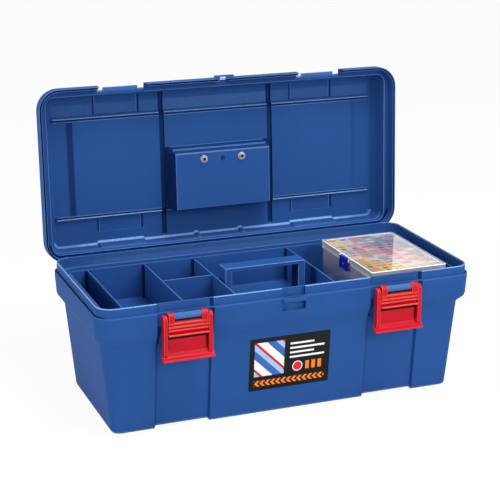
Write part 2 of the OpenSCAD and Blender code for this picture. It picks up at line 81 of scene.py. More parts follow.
class Wire:
    # wraps a socket, so that sums on it read as plain Python
    __add__, __radd__ = paired("ADD")
    __sub__, __rsub__ = paired("SUBTRACT")
    __mul__, __rmul__ = paired("MULTIPLY")
    __pow__, __rpow__ = paired("POWER")
    __mod__, __rmod__ = paired("FLOORED_MODULO")
    __gt__, __lt__ = paired("GREATER_THAN")

    def __init__(self, tree, socket=None):
        self.tree, self.socket = tree, socket

    def add(self, kind, settings=None, sockets=None, out=0):
        node = self.tree.nodes.new(kind)
        for name, value in (settings or {}).items():
            if name == "stops":
                for stop in value[1:-1]:
                    node.color_ramp.elements.new(stop[0])
                for element, stop in zip(node.color_ramp.elements, value):
                    element.position, element.color = stop
            else:
                setattr(node, name, value)
        for name, value in (sockets or {}).items():
            if isinstance(value, Wire):
                self.tree.links.new(value.socket, node.inputs[name])
            else:
                node.inputs[name].default_value = value
        return Wire(self.tree, node.outputs[out] if len(node.outputs) else None)

    def maths(self, operation, first, second=0.0):
        return self.add("ShaderNodeMath", {"operation": operation}, {0: first, 1: second})

    def __abs__(self):
        return self.maths("ABSOLUTE", self)

    def within(self, low, high):
        return (self > low) * (self < high)

    def clamped(self):
        return self.add("ShaderNodeClamp", {}, {0: self})

    def blend(self, first, second):
        # mixes two colours, with this value as the share of the second
        return self.add("ShaderNodeMix", {"data_type": "RGBA"}, {0: self, 6: first, 7: second}, out=2)

    def noise(self, place, scale, detail=2.0, rough=0.5):
        return self.add("ShaderNodeTexNoise", {},
                        {"Vector": place, "Scale": scale, "Detail": detail, "Roughness": rough})

    def drawnOut(self, place, scale, detail):
        # noise with a scale of its own along each axis
        scaled = self.add("ShaderNodeVectorMath", {"operation": "MULTIPLY"}, {0: place, 1: scale})
        return self.noise(scaled, 1.0, detail)

    def chance(self, a, b, seed):
        # a random value for each cell of a grid
        sockets = {0: self.maths("FLOOR", a), 1: self.maths("FLOOR", b), 2: seed}
        cell = self.add("ShaderNodeCombineXYZ", {}, sockets)
        return self.add("ShaderNodeTexWhiteNoise", {"noise_dimensions": "3D"}, {"Vector": cell})

    def bump(self, height, strength, depth):
        return self.add("ShaderNodeBump", {}, {"Strength": strength, "Distance": depth, "Height": height})


# Finishes

def colour(r, g, b):
    # sRGB from 0 to 255, as linear
    def linear(c):
        c /= 255
        return c / 12.92 if c <= 0.04045 else ((c + 0.055) / 1.055) ** 2.4
    return (linear(r), linear(g), linear(b), 1)


def newMaterial(name):
    material = bpy.data.materials.new(name)
    material.use_nodes = True
    material.node_tree.nodes.clear()
    return material, Wire(material.node_tree)


def placeOf(tree):
    return tree.add("ShaderNodeTexCoord", out=3)


def axesOf(tree, place):
    split = tree.add("ShaderNodeSeparateXYZ", {}, {0: place}).socket.node
    return [Wire(tree.tree, out) for out in split.outputs]


def paintedLightOf(tree):
    # above 0 a painted highlight, partly rubbed wear, below 0 painted shade
    return tree.add("ShaderNodeAttribute", {"attribute_name": "edge"}, out=2)


def principled(tree, tone, rough, bump, others):
    sockets = {"Base Color": tone, "Roughness": rough, "Normal": bump, **others}
    return tree.add("ShaderNodeBsdfPrincipled", {}, sockets)


def closeMaterial(material, surface):
    surface.add("ShaderNodeOutputMaterial", {}, {"Surface": surface})
    return material


def spread(axis, low, high):
    # 0 to 1 between two places along an axis
    return (axis - low * milli) * (1 / ((high - low) * milli))


moulded = {"specks": 260, "speckShare": 0.65, "cloudGain": 1.6, "cloudShift": 0.3, "cloudRough": 0.12,
           "speckRough": 0.06, "grainRough": 0.6, "grainDeep": 0.0002}


def mouldedPlastic(name, look):
    # satin plastic: cloudy tone, painted highlights broken by specks as rubbed wear, painted shade, fine
    # grain
    p = SimpleNamespace(**moulded, **look)
    material, tree = newMaterial(name)
    place, edge = placeOf(tree), paintedLightOf(tree)
    cloud = tree.noise(place, p.cloud, 3)
    specks = tree.noise(place, p.specks)
    tone = (cloud * p.cloudGain - p.cloudShift).clamped().blend(p.dark, p.base)
    # painted highlight, broken up by specks as rubbed wear
    highlightAndWear = (edge * (1 - p.speckShare + p.speckShare * specks) * p.edge).clamped()
    tone = highlightAndWear.blend(tone, p.light)
    # painted shade
    tone = (edge * -1.0).clamped().blend(tone, p.deep)
    grain = tree.noise(place, p.grain, 2, p.grainRough)
    rough = p.rough + p.cloudRough * (cloud - 0.5) + p.speckRough * specks
    bump = tree.bump(grain, p.bump, p.grainDeep)
    return closeMaterial(material, principled(tree, tone, rough, bump, {"Specular IOR Level": p.gloss}))


def steelFinish(name, look):
    # brushed along X, with faint stains and painted shade in recesses
    p = SimpleNamespace(**look)
    material, tree = newMaterial(name)
    place, edge = placeOf(tree), paintedLightOf(tree)
    brushed = tree.drawnOut(place, p.brush, 3)
    stain = tree.noise(place, p.stain)
    tone = (brushed * p.brushShare + stain * p.stainShare).clamped().blend(p.dark, p.base)
    # painted shade where the edge layer is below 0
    tone = (edge * -1.0).clamped().blend(tone, p.deep)
    bump = tree.bump(brushed, p.bump, p.brushDeep)
    surface = principled(tree, tone, p.rough + p.stainRough * stain, bump, {"Metallic": p.metal})
    return closeMaterial(material, surface)


def clearPlastic(name, look):
    # thin clear plastic: see-through faces, milky edges painted as white highlights, a gloss that grows at
    # flat angles
    p = SimpleNamespace(**look)
    material, tree = newMaterial(name)
    place, edge = placeOf(tree), paintedLightOf(tree)
    haze = tree.noise(place, p.cloud, 3)
    # milky edges painted as white highlights, and more opaque
    tone = edge.blend(p.base, p.edgeColour)
    alpha = (p.alpha + p.haze * (haze - p.hazeMiddle) + p.edgeAlpha * edge).clamped()
    bump = tree.bump(tree.drawnOut(place, p.scratch, 2), p.bump, p.scratchDeep)
    rough = p.rough + p.hazeRough * haze
    body = principled(tree, tone, rough, bump, {"Alpha": alpha, "Specular IOR Level": 0.0})
    mirror = tree.add("ShaderNodeBsdfGlossy", {}, {"Color": white, "Roughness": p.rough, "Normal": bump})
    flat = tree.add("ShaderNodeLayerWeight", {}, {"Blend": 0.5}, out=1)
    gloss = p.mirror + (1 - p.mirror) * flat ** p.falloff
    return closeMaterial(material, tree.add("ShaderNodeMixShader", {}, {0: gloss, 1: body, 2: mirror}))


def printedSheet(name, look, box, axes, artwork):
    # a thin print, with artwork drawn from the shares along two axes, and worn in patches
    p = SimpleNamespace(**look)
    material, tree = newMaterial(name)
    place = placeOf(tree)
    ways = axesOf(tree, place)
    u, v = [spread(ways[i], box[0][i], box[1][i]) for i in axes]
    scale, detail, start, gain = p.wear  # patches show where the noise is over the start
    wear = tree.noise(place, scale, detail)
    tone = ((wear - start) * gain).clamped().blend(artwork(tree, p, u, v), p.worn)
    bump = tree.bump(tree.noise(place, p.grain), p.bump, p.grainDeep)
    surface = principled(tree, tone, p.rough + p.wearRough * wear, bump, {"Specular IOR Level": p.gloss})
    return closeMaterial(material, surface)


def labelArt(tree, p, u, v):
    # black ground with a striped field, rows of bars, a dot, some blocks and a run of arrows; no words
    def inside(box):
        return u.within(box[0], box[2]) * v.within(box[1], box[3])

    tone = (v * p.groundFade).blend(p.ground, p.worn)
    stripe = ((u * p.stripeLean + v) * p.stripes) % 1.0
    art = p.white
    for start, ink in zip(p.stripeStarts, (p.blue, p.paleBlue, p.red)):
        art = (stripe > start).blend(art, ink)
    tone = inside(p.field).blend(tone, art)
    line = (v - p.bars[1]) * p.barCount
    short = ((line * 0.5) % 1.0 > 0.5) * (u > p.barShort)  # every other bar ends early
    bars = inside(p.bars) * (line % 1.0 < p.barShare)
    tone = (bars * (1 - short)).blend(tone, p.white)
    dotU, dotV, ring, dot = p.dot
    reach = ((u - dotU) * p.aspect) ** 2 + (v - dotV) ** 2
    tone = (reach < ring).blend(tone, p.white)
    tone = (reach < dot).blend(tone, p.red)
    blocks = inside(p.blocks) * (((u - p.blocks[0]) * p.blockCount) % 1.0 < p.blockShare)
    tone = blocks.blend(tone, p.orange)
    chevron = (u * p.aspect - abs(v - (p.arrows[1] + p.arrows[3]) / 2)) * p.arrowCount
    return (inside(p.arrows) * (chevron % 1.0 < p.arrowShare)).blend(tone, p.orange)


def cardArt(tree, p, u, v):
    # slanting colours with small plain shapes scattered over them; no words
    column, row = u * p.columns, v * p.rows
    pick = tree.chance(column, row, p.pickSeed)
    across, up, lean = p.panels
    hue = tree.chance(u * across, v * up + u * lean, p.hueSeed)
    shareU, shareV, shift = p.slant
    slant = (u * shareU + v * shareV + shift * (hue - 0.5)).clamped()
    stops = [(start, getattr(p, ink)) for start, ink in p.run]
    tone = tree.add("ShaderNodeValToRGB", {"stops": stops}, {0: slant})
    du, dv = column % 1.0 - 0.5, row % 1.0 - 0.5
    dots = (du * du + dv * dv < p.dotSize) * pick.within(*p.dotPicks)
    dashes = (abs(du) < p.dashSize[0]) * (abs(dv) < p.dashSize[1]) * pick.within(*p.dashPicks)
    lines = (abs(du) < p.lineSize[0]) * ((dv * 2.0 + 0.25) % 1.0 < p.lineSize[1]) * pick.within(*p.linePicks)
    lozenges = (abs(du) + abs(dv) < p.lozengeSize) * (pick > p.lozengePick)
    for shape, ink in ((dots, p.grey), (dashes, p.red), (lines, p.grey), (lozenges, p.worn)):
        tone = shape.blend(tone, ink)
    return tone


white = (1, 1, 1, 1)
steel = {"brush": (60, 900, 900), "brushShare": 0.5, "brushDeep": 0.0001, "bump": 0.15, "stain": 150,
         "stainShare": 0.4, "stainRough": 0.15, "metal": 0.9, "rough": 0.3}
looks = {
    # each plastic lists a painted highlight colour and a deep colour of painted shade; edge is how strong the
    # painted highlight is
    "shell": {"base": colour(42, 80, 141), "dark": colour(37, 74, 133), "light": colour(126, 162, 212),
              "deep": colour(8, 24, 66), "cloud": 9, "edge": 0.6, "grain": 1500, "bump": 0.22, "rough": 0.42,
              "gloss": 0.012},
    "tray": {"base": colour(41, 82, 146), "dark": colour(36, 74, 135), "light": colour(112, 150, 208),
             "deep": colour(8, 22, 60), "cloud": 12, "edge": 0.7, "grain": 1500, "bump": 0.2, "rough": 0.4,
             "gloss": 0.05},
    "latch": {"base": colour(193, 4, 34), "dark": colour(179, 3, 28), "light": colour(246, 124, 88),
              "deep": colour(12, 1, 1), "cloud": 30, "edge": 0.5, "grain": 1800, "bump": 0.12, "rough": 0.3,
              "gloss": 0.15},
    "clip": {"base": colour(30, 30, 165), "dark": colour(24, 24, 140), "light": colour(120, 130, 230),
             "deep": colour(8, 8, 60), "cloud": 60, "edge": 0.5, "grain": 1800, "bump": 0.08, "rough": 0.14,
             "gloss": 0.4},
    "pins": {**steel, "base": (0.62, 0.62, 0.63, 1), "dark": (0.32, 0.32, 0.33, 1),
             "deep": (0.05, 0.05, 0.05, 1)},
    "screws": {**steel, "base": (0.46, 0.46, 0.5, 1), "dark": (0.24, 0.24, 0.27, 1),
               "deep": (0.01, 0.01, 0.012, 1)},
    # the edge colour and edge alpha make the milky edges, painted as white highlights
    "clear": {"base": (0.64, 0.58, 0.48, 1), "edgeColour": white, "alpha": 0.06, "haze": 0.06,
              "hazeMiddle": 0.4, "hazeRough": 0.1, "edgeAlpha": 0.85, "cloud": 35, "rough": 0.06,
              "mirror": 0.04, "falloff": 5.0, "scratch": (900, 60, 60), "scratchDeep": 0.0001, "bump": 0.05},
    "label": {"ground": colour(9, 9, 11), "worn": colour(26, 26, 30), "white": colour(228, 228, 226),
              "blue": colour(52, 96, 170), "paleBlue": colour(150, 184, 224), "red": colour(200, 36, 40),
              "orange": colour(226, 120, 36), "groundFade": 0.6, "aspect": 1.52,
              # boxes are left, low, right and high, as shares of the label
              "field": (0.06, 0.27, 0.43, 0.92), "stripes": 1.9, "stripeLean": 1.5,
              "stripeStarts": (0.34, 0.66, 0.88),
              "bars": (0.50, 0.55, 0.93, 0.885), "barCount": 11.5, "barShare": 0.42, "barShort": 0.80,
              "dot": (0.60, 0.38, 0.0095, 0.0068), "blocks": (0.70, 0.30, 0.93, 0.46), "blockCount": 13,
              "blockShare": 0.6, "arrows": (0.06, 0.08, 0.94, 0.19), "arrowCount": 10, "arrowShare": 0.55,
              "wear": (120, 4, 0.62, 2), "grain": 700, "bump": 0.1, "grainDeep": 0.0002, "rough": 0.36,
              "wearRough": 0.1, "gloss": 0.15},
    "card": {"yellow": colour(246, 204, 98), "orange": colour(240, 162, 56), "pink": colour(222, 164, 158),
             "salmon": colour(200, 132, 126), "blue": colour(98, 108, 148), "worn": colour(206, 208, 218),
             "pale": colour(160, 165, 186), "grey": colour(50, 48, 70), "red": colour(150, 44, 42),
             # the run of colours across the card
             "run": ((0.0, "orange"), (0.26, "yellow"), (0.38, "worn"), (0.50, "pink"), (0.56, "salmon"),
                     (0.64, "pale"), (0.76, "blue"), (0.88, "pale")),
             "slant": (0.72, 0.28, 0.3), "panels": (3, 4, 0.8), "hueSeed": 8.0,
             # shapes in a grid, each in the cells that draw its share of the picks
             "columns": 6, "rows": 15, "pickSeed": 3.0, "dotSize": 0.07, "dotPicks": (0.0, 0.16),
             "dashSize": (0.42, 0.16), "dashPicks": (0.16, 0.34), "lineSize": (0.45, 0.4),
             "linePicks": (0.42, 0.72), "lozengeSize": 0.42, "lozengePick": 0.80,
             "wear": (40, 3, 0, 0.06), "grain": 500, "bump": 0.1, "grainDeep": 0.0002, "rough": 0.5,
             "wearRough": 0.1, "gloss": 0.1},
}
finish = {
    "shell_blue": mouldedPlastic("shellBlue", looks["shell"]),
    "tray_blue": mouldedPlastic("trayBlue", looks["tray"]),
    "latch_red": mouldedPlastic("latchRed", looks["latch"]),
    "clip_blue": mouldedPlastic("clipBlue", looks["clip"]),
    "pin_steel": steelFinish("pinSteel", looks["pins"]),
    "screw_steel": steelFinish("screwSteel", looks["screws"]),
    "case_clear": clearPlastic("caseClear", looks["clear"]),
    "label_print": printedSheet("labelPrint", looks["label"], nodeBox("front_label"), (0, 2), labelArt),
    "card_print": printedSheet("cardPrint", looks["card"], nodeBox("insert_card"), (0, 1), cardArt),
}
print("materials done")


# Meshes, in millimetres

weld = 0.0004  # points closer than this are merged
sharpAngle, bevelAngle = math.radians(38), math.radians(30)
axisOrder = {"x": (2, 0, 1), "y": (0, 2, 1), "z": (0, 1, 2)}


def newPiece():
    bm = bmesh.new()
    # the edge layer holds painted highlight above 0 and painted shade below 0
    bm.faces.layers.float.new("edge")
    return bm


def tint(bm, faces, tone):
    layer = bm.faces.layers.float["edge"]
    for face in faces:
        face[layer] = tone


def finishPiece(bm, name, body, slotName, nodes, place=None):
    bmesh.ops.remove_doubles(bm, verts=bm.verts, dist=weld)
    bmesh.ops.dissolve_degenerate(bm, edges=bm.edges, dist=weld)
    bm.transform(Matrix.Scale(milli, 4) @ (place or Matrix()))
    mesh = bpy.data.meshes.new(name)
    bm.to_mesh(mesh)
    bm.free()
    mesh.materials.append(finish[slotName])
    mesh.shade_smooth()
    mesh.set_sharp_from_angle(angle=sharpAngle)
    piece = bpy.data.objects.new(name, mesh)
    scene.collection.objects.link(piece)
    even = piece.modifiers.new("evenNormals", "WEIGHTED_NORMAL")
    even.keep_sharp = True
    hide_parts(*nodes)
    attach(piece, body)


def rectangle(a0, b0, a1, b1):
    return [(a0, b0), (a1, b0), (a1, b1), (a0, b1)]


def circlePoints(a, b, radius, sides=32):
    turns = [2 * math.pi * k / sides for k in range(sides)]
    return [(a + radius * math.cos(turn), b + radius * math.sin(turn)) for turn in turns]


def roundedPoints(points, radius, steps=4):
    # an outline with its corners rounded
    made = []
    for i, p in enumerate(points):
        p = Vector(p)
        back, ahead = Vector(points[i - 1]) - p, Vector(points[(i + 1) % len(points)]) - p
        first = p + back * min(radius / back.length, 0.48)
        last = p + ahead * min(radius / ahead.length, 0.48)
        for k in range(steps + 1):
            t = k / steps
            made.append(tuple((1 - t) ** 2 * first + 2 * t * (1 - t) * p + t * t * last))
    return made


def bridge(bm, lower, upper):
    # faces between two loops with as many points each
    corners = zip(lower, lower[1:] + lower[:1], upper[1:] + upper[:1], upper)
    return [bm.faces.new(four) for four in corners]


def bevelled(bm, faces, size, shine, segments=2):
    bmesh.ops.recalc_face_normals(bm, faces=faces)
    edges = {edge for face in faces for edge in face.edges
             if edge.is_manifold and edge.calc_face_angle() > bevelAngle}
    made = bmesh.ops.bevel(bm, geom=list(edges), offset=size, segments=segments, profile=0.5,
                           affect="EDGES", clamp_overlap=True)
    # the bevel faces take the shine as painted highlight, or painted shade when below 0
    tint(bm, made["faces"], shine)


def prism(bm, outline, low, high, axis="x", bevel=0.6, shine=1.0, segments=2, tone=0.0):
    # outline points are (y, z) for axis x, (x, z) for axis y, (x, y) for axis z
    def loopAt(level):
        return [bm.verts.new([(a, b, level)[i] for i in axisOrder[axis]]) for a, b in outline]

    first, last = loopAt(low), loopAt(high)
    faces = [bm.faces.new(first), bm.faces.new(last)] + bridge(bm, first, last)
    tint(bm, faces, tone)
    bevelled(bm, faces, bevel, shine, segments)


def slab(bm, low, high, bevel=0.6, shine=1.0, segments=2, tone=0.0):
    prism(bm, rectangle(low[0], low[1], high[0], high[1]), low[2], high[2], "z", bevel, shine, segments, tone)


def darkPlate(bm, low, high, tone=-1):
    # stands for the shadow in a gap
    slab(bm, low, high, 0.1, tone, 1, tone)


def slottedPlate(bm, low, high, hole, bevel, shine=1.0):
    # a plate with a rounded slot through it
    def loopAt(box, radius, z):
        return [bm.verts.new((x, y, z)) for x, y in roundedPoints(rectangle(*box), radius)]

    outer = (low[0], low[1], high[0], high[1])
    loops = [loopAt(box, radius, z) for box, radius, z in
             ((outer, 1.2, low[2]), (outer, 1.2, high[2]), (hole, 1.0, high[2]), (hole, 1.0, low[2]))]
    faces = []
    for lower, upper in zip(loops, loops[1:] + loops[:1]):
        faces += bridge(bm, lower, upper)
    bevelled(bm, faces, bevel, shine)


def lathe(bm, profile, place, sides=32, shine=0.0):
    # turns (radius, height) round the Z axis of a place; a profile that starts and ends at radius 0 is closed
    loops = []
    for radius, height in profile:
        ring = circlePoints(0, 0, max(radius, 1e-4), sides)
        loops.append([bm.verts.new(place @ Vector((x, y, height))) for x, y in ring])
    for lower, upper in zip(loops, loops[1:]):
        tint(bm, bridge(bm, lower, upper), shine)


def softened(rows):
    # rounds the corners of a path of rows
    # each row is (values, reach of its rounding, shine of it, shine of the strip before it); a shine paints
    # highlight above 0 and shade below 0
    measure = slice(3, 5)  # front y and z
    points = [np.array(row[0], float) for row in rows]
    path, shines = [points[0]], []
    for i in range(1, len(points) - 1):
        reach, shine, *strip = rows[i][1:]
        before = strip[0] if strip else 0
        if reach <= 0:
            path.append(points[i])
            shines.append(before)
            continue
        ends = []
        for other in (points[i - 1], points[i + 1]):
            size = np.linalg.norm((other - points[i])[measure])
            ends.append(points[i] + (other - points[i]) * min(reach / size, 0.46))
        steps = 3 if reach < 2 else 6
        for k in range(steps + 1):
            t = k / steps
            path.append((1 - t) ** 2 * ends[0] + 2 * t * (1 - t) * points[i] + t * t * ends[1])
            shines.append(shine if k else before)
    return path + [points[-1]], shines + [0]


def ringPoints(row, xs, ys, zones, arc):
    # one loop round a box: row is end x and z, corner, front y and z, rear y and z, then a pair for each zone
    endX, endZ, corner, frontY, frontZ, rearY, rearZ = row[:7]
    sideX = endX - corner

    def along(edgeY, edgeZ, side, x):
        y, z = edgeY, edgeZ
        for i, (zoneSide, weight) in enumerate(zones):
            if zoneSide == side:
                share = weight(x)
                y += share * (row[7 + 2 * i] - edgeY)
                z += share * (row[8 + 2 * i] - edgeZ)
        return (min(max(x, -sideX), sideX), y, z)

    def turn(signX, edgeY, edgeZ, start, toEnd):
        centreY = edgeY + corner if edgeY < 0 else edgeY - corner
        points = []
        for k in range(arc + 1):
            angle = math.radians(start + 90 * k / arc)
            share = k / arc if toEnd else 1 - k / arc
            share = share * share * (3 - 2 * share)
            points.append((signX * sideX + corner * math.cos(angle), centreY + corner * math.sin(angle),
                           edgeZ + share * (endZ - edgeZ)))
        return points

    def held(y):
        return min(max(y, frontY + corner), rearY - corner)

    return (turn(-1, frontY, frontZ, 180, False) + [along(frontY, frontZ, "front", x) for x in xs]
            + turn(1, frontY, frontZ, 270, True) + [(endX, held(y), endZ) for y in ys]
            + turn(1, rearY, rearZ, 0, False) + [along(rearY, rearZ, "rear", x) for x in reversed(xs)]
            + turn(-1, rearY, rearZ, 90, True) + [(-endX, held(y), endZ) for y in reversed(ys)])


def capLoop(bm, loop, xs, ys, arc, up, height=None, shine=None):
    # fills a loop with a grid between its stations
    layer = bm.faces.layers.float["edge"]
    m, n = len(xs), len(ys)
    front = loop[arc:arc + m + 2]
    right = loop[2 * arc + m + 2:2 * arc + m + 2 + n]
    start = 2 * arc + m + 2 + n
    rear = loop[start + arc:start + arc + m + 2][::-1]
    left = loop[start + 2 * arc + m + 2:][::-1]
    table = [front]
    for i, y in enumerate(ys):
        line = [left[i]]
        for c in range(1, m + 1):
            a, b = front[c].co, rear[c].co
            share = (y - a.y) / (b.y - a.y)
            z = height(a.x, y) if height else a.z + share * (b.z - a.z)
            line.append(bm.verts.new((a.x, y, z)))
        table.append(line + [right[i]])
    table.append(rear)
    for lower, upper in zip(table, table[1:]):
        for c in range(m + 1):
            corners = (lower[c], lower[c + 1], upper[c + 1], upper[c])
            face = bm.faces.new(corners if up else corners[::-1])
            if shine:
                middle = (lower[c].co + upper[c + 1].co) / 2
                face[layer] = shine(middle.x, middle.y)


def addShell(bm, rows, xs, ys, zones=(), arc=9, capHeights=(None, None), capShine=None):
    # a closed shell from its first cap, down or out and back, to its last cap
    path, shines = softened(rows)
    loops = [[bm.verts.new(p) for p in ringPoints(row, xs, ys, zones, arc)] for row in path]
    for loop, height in zip((loops[0], loops[-1]), capHeights):
        for vert in loop if height else ():
            vert.co.z = height(vert.co.x, vert.co.y)
    for lower, upper, shine in zip(loops, loops[1:], shines):
        for face, start, end in zip(bridge(bm, lower, upper), lower, lower[1:] + lower[:1]):
            middle = (start.co + end.co) / 2
            tint(bm, [face], shine(middle.x, middle.y) if callable(shine) else shine)
    capLoop(bm, loops[0], xs, ys, arc, False, capHeights[0], capShine)
    capLoop(bm, loops[-1], xs, ys, arc, True, capHeights[1])


def between(value, low, high, blur):
    # 1 inside a range, falling to 0 over the blur outside it
    return min(max((value - low) / blur + 1, 0), max((high - value) / blur + 1, 0), 1)


def zoneAt(centres, half, blur):
    # the same round each centre
    return lambda x: max(between(x, c - half, c + half, blur) for c in centres)


def edgesOf(centres, half, blur):
    return [c + s * (half + b) for c in centres for s in (-1, 1) for b in (0, blur / 2, blur)]


def stationsOf(spans, others):
    # x stations at the edges of all spans, and others, on both sides
    values = [x for span in spans.values() for x in edgesOf(*span)] + others
    return sorted({round(s * v, 4) for v in values for s in (-1, 1)})


# Repeats, each grown by its own node tree and turned into a plain mesh

def newTree(name, sizes, kinds=None):
    tree = bpy.data.node_groups.new(name, "GeometryNodeTree")
    inputs = {"Points": "Geometry", **dict.fromkeys(sizes, "Float"), **(kinds or {}), "Material": "Material"}
    for label, kind in inputs.items():
        tree.interface.new_socket(label, in_out="INPUT", socket_type="NodeSocket" + kind)
    tree.interface.new_socket("Geometry", in_out="OUTPUT", socket_type="NodeSocketGeometry")
    wire = Wire(tree)
    source = wire.add("NodeGroupInput").socket.node
    return wire, {out.name: Wire(tree, out) for out in source.outputs if out.name}


def closeTree(wire, given, part):
    # the part at each point
    made = wire.add("GeometryNodeInstanceOnPoints", {}, {"Points": given["Points"], "Instance": part})
    real = wire.add("GeometryNodeRealizeInstances", {}, {0: made})
    painted = wire.add("GeometryNodeSetMaterial", {}, {"Geometry": real, "Material": given["Material"]})
    wire.add("NodeGroupOutput", {}, {0: painted})
    return wire.tree


def swept(wire, start, end, profile):
    line = wire.add("GeometryNodeCurvePrimitiveLine", {}, {"Start": start, "End": end})
    sockets = {"Curve": line, "Profile Curve": profile, "Fill Caps": True}
    return wire.add("GeometryNodeCurveToMesh", {}, sockets)


def ridgeTree():
    # round bars along X
    wire, given = newTree("ridgeRow", ("Length", "Radius"))
    half = given["Length"] * 0.5
    start = wire.add("ShaderNodeCombineXYZ", {}, {0: half * -1.0})
    end = wire.add("ShaderNodeCombineXYZ", {}, {0: half})
    ring = wire.add("GeometryNodeCurvePrimitiveCircle", {}, {"Resolution": 20, "Radius": given["Radius"]})
    return closeTree(wire, given, swept(wire, start, end, ring))


def ribTree():
    # upright ribs with rounded edges, standing on each point
    wire, given = newTree("uprightRibs", ("Width", "Depth", "Height", "Round"))
    plan = wire.add("GeometryNodeCurvePrimitiveQuadrilateral", {},
                    {"Width": given["Width"], "Height": given["Depth"]})
    plan = wire.add("GeometryNodeFilletCurve", {"mode": "POLY"},
                    {"Curve": plan, "Radius": given["Round"], "Count": 3, "Limit Radius": True})
    rise = wire.add("ShaderNodeCombineXYZ", {}, {2: given["Height"]})
    return closeTree(wire, given, swept(wire, (0, 0, 0), rise, plan))


def copiesTree():
    # copies of an object
    wire, given = newTree("copiesAtPoints", (), {"Part": "Object"})
    part = wire.add("GeometryNodeObjectInfo", {}, {"Object": given["Part"]}, out="Geometry")
    return closeTree(wire, given, part)


def addGrown(bm, tree, points, values, slotName, tone=0.0):
    # the tree's result on these points, as plain faces of the piece
    base = bpy.data.meshes.new("points")
    base.from_pydata(points, [], [])
    holder = bpy.data.objects.new("holder", base)
    scene.collection.objects.link(holder)
    grow = holder.modifiers.new("grow", "NODES")
    grow.node_group = tree
    given = {**values, "Material": finish[slotName]}
    for item in tree.interface.items_tree:
        if item.in_out == "INPUT" and item.name in given:
            grow[item.identifier] = given[item.name]
    holder.update_tag()
    bpy.context.view_layer.update()
    graph = bpy.context.evaluated_depsgraph_get()
    mesh = bpy.data.meshes.new_from_object(holder.evaluated_get(graph))
    holder.modifiers.remove(grow)
    bpy.data.objects.remove(holder)
    count = len(bm.faces)
    bm.from_mesh(mesh)
    bm.faces.ensure_lookup_table()
    if tone:
        tint(bm, bm.faces[count:], tone)


trees = {"ridges": ridgeTree(), "ribs": ribTree(), "copies": copiesTree()}


# Tub

tub = {
    "core": (225, 84), "foot": 11.5, "draft": 0.1, "wall": 3.0, "footGap": 2.5,
    "ledge": 162, "lipTop": 174, "lipOut": 30, "lipCorner": 20, "lipBack": 1.6, "lipEnd": 247,
    "lipRear": 232, "rearFade": 60, "rearY": 100, "collarOut": 33, "collarLow": 128, "root": 113,
    "waist": (112, 121, 131), "endWaist": 116, "scoop": 145, "hingeSeat": 150, "inside": (131, 122),
    "latchX": 145, "latchGap": (32.2, 34.7), "channelHalf": 34.8, "channelSide": 2.4, "channelDeep": 3.5,
    "channelBend": (124, 134), "channelIn": 2.7, "barrelHalf": 17.5, "barrelR": 4.2,
    "barrelArm": (-3.2, -5.5, 3.6), "hingeHalf": 31, "knuckleHalf": 12, "knuckleR": 5.2,
    "hingeArm": ((113, -8), (131, -8), (131, 1.6), (126.6, 1.6), (126.6, -4.2), (113, -1)),
    "eyeHalf": 14, "shelfHalf": 16.5, "shelfLow": 157, "shelfFront": -122.5, "slotHalf": 6.5,
    "slotY": (-120.2, -114.7), "ribX": 233, "ribY": (-60, 0, 60), "ribTop": 107, "ribWide": 8.0,
    "ribRound": 0.8, "gridX": [6, 9, 12, 50, 80, 200, 215], "gridY": [-70, -35, 0, 35, 70],
    # painted shade in the channels, beside the latches, in the padlock recess, at the lip's foot and under
    # the barrels; shine values are painted highlights
    "grime": {"channel": -0.45, "latch": -0.8, "scoop": -0.75, "foot": -0.9, "barrelArm": -0.5},
    "shine": {"foot": 0.5, "ledge": 0.15, "lip": 2.2, "lipCalm": 0.1, "lipInside": (0.7, 0.15),
              "rear": (0.12, 0.3), "shoulder": 0.3, "barrel": 0.45},
}


def tubRow(end, corner, side, channel=None, eye=None, rear=None):
    # each pair is (distance from the core, height)
    coreX, coreY = tub["core"]
    channel, eye, rear = channel or side, eye or side, rear or side
    return (coreX + end[0], end[1], corner, -coreY - side[0], side[1], coreY + side[0], side[1],
            -coreY - channel[0], channel[1], -coreY - eye[0], eye[1], coreY + rear[0], rear[1])


